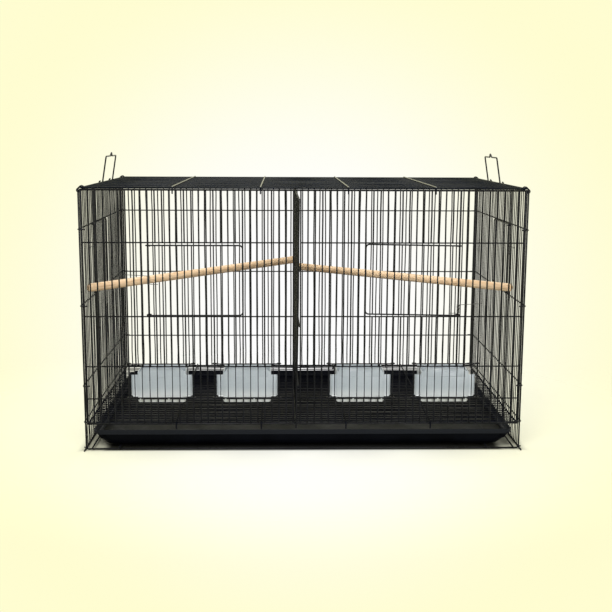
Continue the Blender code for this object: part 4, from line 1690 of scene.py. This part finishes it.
@dataclass
class Perch:
    """Turned dowel, notched on a side wire and cut flat at the divider."""

    name: str
    side: Side
    wire: int
    outer_z: float
    inner: Vector
    radius: float = 0.0075
    poke: float = 0.003
    slot: float = 0.0036
    ease: float = 0.0002
    cut_lap: float = 0.02
    facets: int = 40
    edge: float = 0.0003
    edge_angle: float = 50.0

    @property
    def post(self) -> Vector:
        """Where the dowel grips its side wire."""
        return Vector((self.side * CAGE.side_x, CAGE.side_y(self.wire), self.outer_z))

    @property
    def run(self) -> Vector:
        """Direction of the dowel, from the side inwards."""
        return (self.inner - self.post).normalized()

    def build(self) -> Solid:
        """Builds the perch.

        Returns:
            The perch.
        """
        start = self.post - self.run * self.poke
        dowel = Bench.rod(start, self.inner + self.run * self.cut_lap, self.radius,
                          self.facets)
        Bench.select(dowel, "FACE")
        bpy.ops.mesh.bisect(plane_co=(self.inner.x, 0.0, 0.0), plane_no=(-self.side, 0.0, 0.0),
                            use_fill=True, clear_outer=True)
        half = self.slot / 2
        cutter = Bench.box((-self.cut_lap / 2, -half, -self.cut_lap),
                           (self.poke + half + self.ease, half, self.cut_lap))
        turn = Matrix.Rotation(math.atan2(self.run.y, self.run.x), 4, "Z")
        cutter.data.transform(Matrix.Translation(start) @ turn)
        Bench.cut(dowel, cutter)
        Bench.soften(dowel, self.edge, angle=self.edge_angle)
        return Bench.join(self.name, [dowel])


@dataclass
class Handle:
    """Carrying handle of one bent wire, turning on the roof's end wire."""

    name: str
    side: Side
    rise: float = 0.050
    peak: float = 0.007
    peak_half: float = 0.009
    bend: float = 0.004
    lean: float = 9.5
    wires: tuple[int, int] = (15, 24)
    radius: float = 0.0014
    gap: float = 0.0004
    eye_facets: int = 14
    eye_turn: float = 255.0

    def build(self) -> Solid:
        """Builds the handle.

        Returns:
            The handle.
        """
        eye = CAGE.roof_pin + self.radius + self.gap
        near, far = (CAGE.side_y(wire + 0.5) for wire in self.wires)
        middle = (near + far) / 2
        leg = [(out, -across)
               for across, out, _ in Bench.curl(eye, self.eye_turn, self.eye_facets)]
        corners = [(near, 0.0), (near, self.rise), (middle - self.peak_half, self.rise),
                   (middle, self.rise + self.peak), (middle + self.peak_half, self.rise),
                   (far, self.rise), (far, 0.0)]
        points = [(u, near, v) for u, v in leg]
        points += Bench.rounded([(eye, y, v) for y, v in corners], self.bend)[1:-1]
        points += [(u, far, v) for u, v in reversed(leg)]
        lean = Matrix.Rotation(math.radians(-self.lean * self.side), 4, "Y")
        axis = Vector((self.side * CAGE.roof_end_x, 0.0, CAGE.roof_z))
        placed = [axis + lean @ Vector((-self.side * u, y, v)) for u, y, v in points]
        return Bench.join(self.name, [Bench.bent(placed, self.radius)])


@dataclass
class CornerClip:
    """Oval wire ring of four turns that ties the roof to a side panel."""

    name: str
    side: Side
    end: End
    wire: float = 0.0012
    gap: float = 0.0002
    spacing: float = 0.00228
    turns: int = 4
    bend_steps: int = 9

    def build(self) -> Solid:
        """Builds the ring.

        Returns:
            The ring.
        """
        y = self.end * (CAGE.depth / 2 - CAGE.side_pitch / 2)
        around = CAGE.side_edge + self.gap + self.wire
        first = Vector((self.side * CAGE.roof_end_x, y, CAGE.roof_z))
        second = Vector((self.side * CAGE.side_x, y, CAGE.side_top))
        run = (second - first).normalized()
        out = Vector((run.z, 0.0, -run.x))
        path = []
        for centre, turn in ((second, -90), (first, 90)):
            for step in range(self.bend_steps + 1):
                angle = math.radians(turn + 180 / self.bend_steps * step)
                path.append(centre + around * (math.cos(angle) * run + math.sin(angle) * out))
        ring = Bench.bent(path, self.wire, closed=True, resolution=2)
        moves = [(0.0, (turn - (self.turns - 1) / 2) * self.spacing, 0.0)
                 for turn in range(self.turns)]
        return Bench.join(self.name, [Bench.stamp(ring, moves)])


@dataclass(frozen=True)
class Lamp:
    """Soft square lamp that is aimed at the cage's middle."""

    name: str
    place: Point
    size: float
    power: float
    aim_z: float = 0.2

    def build(self) -> None:
        """Adds the lamp."""
        data = bpy.data.lights.new(self.name, "AREA")
        data.size = self.size
        data.energy = self.power
        lamp = bpy.data.objects.new(self.name, data)
        lamp.location = self.place
        aim = Vector((0.0, 0.0, self.aim_z)) - Vector(self.place)
        lamp.rotation_euler = aim.to_track_quat("-Z", "Y").to_euler()
        bpy.context.scene.collection.objects.link(lamp)


@dataclass
class Studio:
    """Camera at the photograph's angle, pale backdrop and soft light."""

    spot: tuple[float, float, float] = (-0.039, -1.94322, 0.54509)
    pitch: float = -0.16695
    yaw: float = 0.02466
    roll: float = 0.00422
    focal: float = 58.87
    sensor: float = 36.0
    near_clip: float = 0.01
    cream: Colour = (1.0, 0.982, 0.64, 1.0)
    glow_angles: tuple[float, float] = (0.05, 0.36)
    front_level: float = 0.20
    back_level: float = 1.6
    back_share: tuple[float, float] = (0.72, 0.99)
    floor_radius: float = 2.4
    floor_facets: int = 96
    floor_squash: Point = (0.85, 1.0, 0.0)
    floor_z: float = -0.0006
    floor_fade: tuple[float, float] = (0.35, 0.75)
    floor_tone: float = 0.46
    floor_glow: float = 0.46
    # Painted shade: the floor's tone inside the tray's footprint, and the footprint's half size.
    under_tone: float = 0.02
    painted_shade_half: tuple[float, float] = (0.345, 0.236)
    base_half: tuple[float, float] = (0.386, 0.2365)
    mask_fade: tuple[float, float] = (0.99, 1.04)
    lamps: tuple[Lamp, ...] = (Lamp("key_light", (-1.1, -2.4, 2.4), 1.4, 85.0),
                               Lamp("fill_light", (1.3, -2.6, 0.95), 1.4, 50.0),
                               Lamp("top_light", (0.0, 0.6, 2.6), 1.6, 56.0))

    @property
    def ahead(self) -> Vector:
        """Direction that the camera looks in."""
        return Vector((math.sin(self.yaw) * math.cos(self.pitch),
                       math.cos(self.yaw) * math.cos(self.pitch), math.sin(self.pitch)))

    def camera(self) -> None:
        """Adds the camera of the photograph."""
        right = Vector((math.cos(self.yaw), -math.sin(self.yaw), 0.0))
        up = right.cross(self.ahead)
        turned_right = math.cos(self.roll) * right + math.sin(self.roll) * up
        turned_up = -math.sin(self.roll) * right + math.cos(self.roll) * up
        data = bpy.data.cameras.new("photo_view")
        data.lens = self.focal
        data.sensor_width = self.sensor
        data.clip_start = self.near_clip
        made = bpy.data.objects.new("photo_view", data)
        basis = Matrix((turned_right, turned_up, -self.ahead)).transposed().to_4x4()
        made.matrix_world = Matrix.Translation(self.spot) @ basis
        bpy.context.scene.collection.objects.link(made)
        bpy.context.scene.camera = made

    def _glow(self, graph: Graph, toward: Socket) -> Socket:
        """White behind the cage that turns to pale cream away from it.

        Args:
            graph: The material's or the world's graph.
            toward: Direction from the camera's place, of length 1.

        Returns:
            The colour.
        """
        along = graph.vector("DOT_PRODUCT", toward, self.ahead, output="Value")
        angle = graph.math("ARCCOSINE", graph.math("MINIMUM", along, 1.0))
        return graph.mix(graph.ramp(angle, *self.glow_angles), WHITE, self.cream)

    def world(self) -> None:
        """Lights the cage with a plain pale surrounding, and shows the backdrop's colour."""
        made = bpy.data.worlds.new("studio_surrounding")
        made.use_nodes = True
        bpy.context.scene.world = made
        graph = Graph(made.node_tree)
        toward = graph.add("ShaderNodeTexCoord").outputs["Generated"]
        behind = graph.ramp(graph.axis(toward, "Y"), *self.back_share)
        level = graph.scaled(behind, 0.0, 1.0, self.front_level, self.back_level)
        base = graph.tree.nodes["Background"]
        graph.feed(base, {"Color": WHITE, "Strength": level})
        shown = graph.add("ShaderNodeBackground", {"Color": self._glow(graph, toward),
                                                   "Strength": 1.0})
        path = graph.add("ShaderNodeLightPath").outputs
        seen = graph.math("MAXIMUM", path["Is Camera Ray"], path["Is Transmission Ray"])
        seen = graph.math("MAXIMUM", seen, path["Is Glossy Ray"])
        chosen = graph.add("ShaderNodeMixShader", {0: seen, 1: base.outputs[0],
                                                   2: shown.outputs[0]})
        graph.feed(graph.tree.nodes["World Output"], {"Surface": chosen.outputs[0]})

    def _outside(self, graph: Graph, place: Socket, half: tuple[float, float]) -> Socket:
        """Mask that is 0 inside a rectangle on the floor and 1 outside it.

        Args:
            graph: The material's graph.
            place: Position on the floor.
            half: Half the rectangle's width and depth.

        Returns:
            The mask.
        """
        share = graph.vector("MULTIPLY", place, (1 / half[0], 1 / half[1], 0.0))
        parts = graph.vector("ABSOLUTE", share)
        farther = graph.math("MAXIMUM", graph.axis(parts, "X"), graph.axis(parts, "Y"))
        return graph.ramp(farther, *self.mask_fade)

    def floor(self) -> None:
        """Adds a pale floor that keeps the cage's shadow, with painted shade under the tray, and
        fades into the backdrop.
        """
        Bench.clear()
        bpy.ops.mesh.primitive_circle_add(vertices=self.floor_facets, radius=self.floor_radius,
                                          fill_type="NGON", location=(0.0, 0.0, self.floor_z))
        floor = bpy.context.object
        floor.name = "pale_floor"
        Bench.settle(floor)
        paint = Paint("pale_floor_paint")
        place = paint.place()
        flat = paint.vector("MULTIPLY", place, self.floor_squash)
        fade = paint.ramp(paint.vector("LENGTH", flat, output="Value"), *self.floor_fade)
        toward = paint.vector("NORMALIZE", paint.vector("SUBTRACT", place, self.spot))
        colour = self._glow(paint, toward)
        # Painted shade: inside the tray's footprint the floor's colour is made much darker.
        tone = paint.math("MULTIPLY_ADD", self._outside(paint, place, self.painted_shade_half),
                          self.floor_tone - self.under_tone, self.under_tone)
        shaded_floor_colour = paint.add("ShaderNodeVectorMath", {0: colour, "Scale": tone}, operation="SCALE")
        glow = paint.math("MULTIPLY", self._outside(paint, place, self.base_half),
                          self.floor_glow)
        paint.feed(paint.shader, {"Base Color": shaded_floor_colour.outputs[0], "Roughness": 0.9,
                                  "Specular IOR Level": 0.0, "Emission Color": colour,
                                  "Emission Strength": glow})
        clear = paint.add("ShaderNodeBsdfTransparent")
        mixed = paint.add("ShaderNodeMixShader", {0: fade, 1: paint.shader.outputs[0],
                                                  2: clear.outputs[0]})
        paint.feed(paint.tree.nodes["Material Output"], {"Surface": mixed.outputs[0]})
        floor.data.materials.append(paint.material)

    def build(self) -> None:
        """Builds the whole studio."""
        bpy.context.scene.view_settings.view_transform = "Standard"
        self.camera()
        self.world()
        self.floor()
        for lamp in self.lamps:
            lamp.build()


def build_grilles(finishes: Finishes) -> None:
    """Builds the fixed grilles, the base frame and the corner clips.

    Args:
        finishes: The materials.
    """
    wire = finishes.wire
    hand_over(FrontPanel().build(), "front_panel", ROOT, wire)
    hand_over(BackPanel().build(), "back_panel", ROOT, wire)
    for side in Side:
        hand_over(SidePanel(side).build(), f"{side.name.lower()}_side_panel", ROOT, wire)
    roof = FlatPanel("roof_grille", on_roof, thin=0.00095, half_depth=CAGE.depth / 2,
                     gaps=CAGE.side_gaps, end_x=CAGE.roof_end_x,
                     end_radius=CAGE.roof_pin).build()
    hand_over(roof, "roof_panel", ROOT, finishes.roof)
    # The roof's cross wires, above the long wires, wear the painted glint coating.
    roof.data.materials.append(finishes.painted_glint)
    for face in roof.data.polygons:
        face.material_index = int(face.center.z > CAGE.roof_z + CAGE.roof_corner + NEAR)
    half = CAGE.depth / 2 - CAGE.edge - CAGE.play - CAGE.roof_corner
    floor = FlatPanel("floor_grille", on_floor, thin=CAGE.thin, half_depth=half,
                      gaps=CAGE.side_gaps - 1, end_x=CAGE.floor_end_x, end_radius=0.0015,
                      outer_out=0.0002)
    hand_over(floor.build(), "floor_panel", ROOT, finishes.under)
    hand_over(BaseFrame().build(), "base_frame", ROOT, wire)
    for side in Side:
        for end in End:
            corner = f"{end.name.lower()}_{side.name.lower()}"
            clip = CornerClip(f"clip_ring_{corner}", side, end)
            hand_over(clip.build(), f"corner_clip_{corner}", ROOT, wire)


def build_perches() -> None:
    """Builds the two perches, each with the grain of its own dowel."""
    lean, clear = 0.00015, 0.00155
    middle = CAGE.divider_x + lean
    for side, wire, outer_z, inner in (
            (Side.LEFT, 6, 0.27678, (middle - clear, 0.170, 0.28877)),
            (Side.RIGHT, 9, 0.27217, (middle + clear, 0.185, 0.27308))):
        word = side.name.lower()
        perch = Perch(f"{word}_dowel", side, wire, outer_z, Vector(inner))
        wood = TurnedWood(f"{word}_perch_softwood", perch.run, perch.post)
        hand_over(perch.build(), f"{word}_perch", ROOT, wood.material())


def build_doors(finishes: Finishes) -> None:
    """Builds the main doors and the nest doors with their springs.

    Args:
        finishes: The materials.
    """
    low = CAGE.door_sill + CAGE.seat
    high = CAGE.door_head - CAGE.head_gap - CAGE.door_wire
    for side, spring_at, tilt in ((Side.LEFT, 0.445, 0.0), (Side.RIGHT, 0.055, 0.0026)):
        word = side.name.lower()
        hinge = CAGE.front_x(CAGE.door_hinge, side)
        inner = [CAGE.front_x(k, side) for k in range(CAGE.door_free + 1, CAGE.door_hinge)]
        door = SwingDoor(f"{word}_door_grille", on_front, hinge,
                         CAGE.front_x(CAGE.door_free, side), low, high, inner, tilt=tilt)
        body = f"{word}_main_door"
        hand_over(door.build(), body, body, finishes.wire)
        start = CAGE.door_sill + spring_at * (CAGE.door_head - CAGE.door_sill)
        spring = CoilSpring(f"{word}_door_coil", on_front, hinge, side, start)
        bend = (body, *((hinge - side * s, CAGE.front_y, start) for s in spring.bend))
        hand_over(spring.build(), f"{word}_door_spring", ROOT, finishes.spring, bend)
    low = CAGE.side_rows[2] + CAGE.seat
    high = CAGE.side_rows[3] - CAGE.seat
    nest_spring_at = 0.565
    start = CAGE.side_rows[2] + nest_spring_at * (CAGE.side_rows[3] - CAGE.side_rows[2])
    hinge = CAGE.side_y(CAGE.nest_hinge)
    inner = [CAGE.side_y(k) for k in range(CAGE.nest_hinge + 1, CAGE.nest_free)]
    for side in Side:
        word = side.name.lower()
        door = SwingDoor(f"{word}_nest_grille", on_side(side), hinge,
                         CAGE.side_y(CAGE.nest_free), low, high, inner, wire=0.00098)
        body = f"{word}_nest_door"
        hand_over(door.build(), body, body, finishes.wire)
        spring = CoilSpring(f"{word}_nest_coil", on_side(side), hinge, -1, start)
        bend = (body, *((side * CAGE.side_x, hinge + s, start) for s in spring.bend))
        hand_over(spring.build(), f"{word}_nest_spring", ROOT, finishes.spring, bend)


def build_feeding(finishes: Finishes) -> None:
    """Builds the feeding doors and their cups, from left to right.

    Args:
        finishes: The materials.
    """
    inner, outer = CAGE.banks
    for number, (side, (first, last)) in enumerate(
            ((Side.LEFT, outer), (Side.LEFT, inner), (Side.RIGHT, inner), (Side.RIGHT, outer)), 1):
        left, right = sorted((CAGE.front_x(first, side), CAGE.front_x(last, side)))
        body = f"feeder_door_{number}"
        door = FeederDoor(f"feeder_grille_{number}", left, right)
        hand_over(door.build(), body, body, finishes.wire)
        body = f"feed_cup_{number}"
        cup = FeedCup(f"milky_cup_{number}", side, first, last)
        hand_over(cup.build(), body, body, finishes.cup)


def main() -> None:
    """Builds the studio and every piece of the cage."""
    logging.basicConfig(level=logging.INFO, format="%(name)s %(message)s")
    Studio().build()
    finishes = Finishes.build()
    build_grilles(finishes)
    build_perches()
    hand_over(Tray().build(), "tray", "tray", finishes.tray)
    hand_over(Divider().build(), "divider", "divider", finishes.wire)
    build_doors(finishes)
    build_feeding(finishes)
    for side in Side:
        body = f"{side.name.lower()}_handle"
        hand_over(Handle(f"{body}_wire", side).build(), body, body, finishes.wire)


if __name__ == "__main__":
    main()
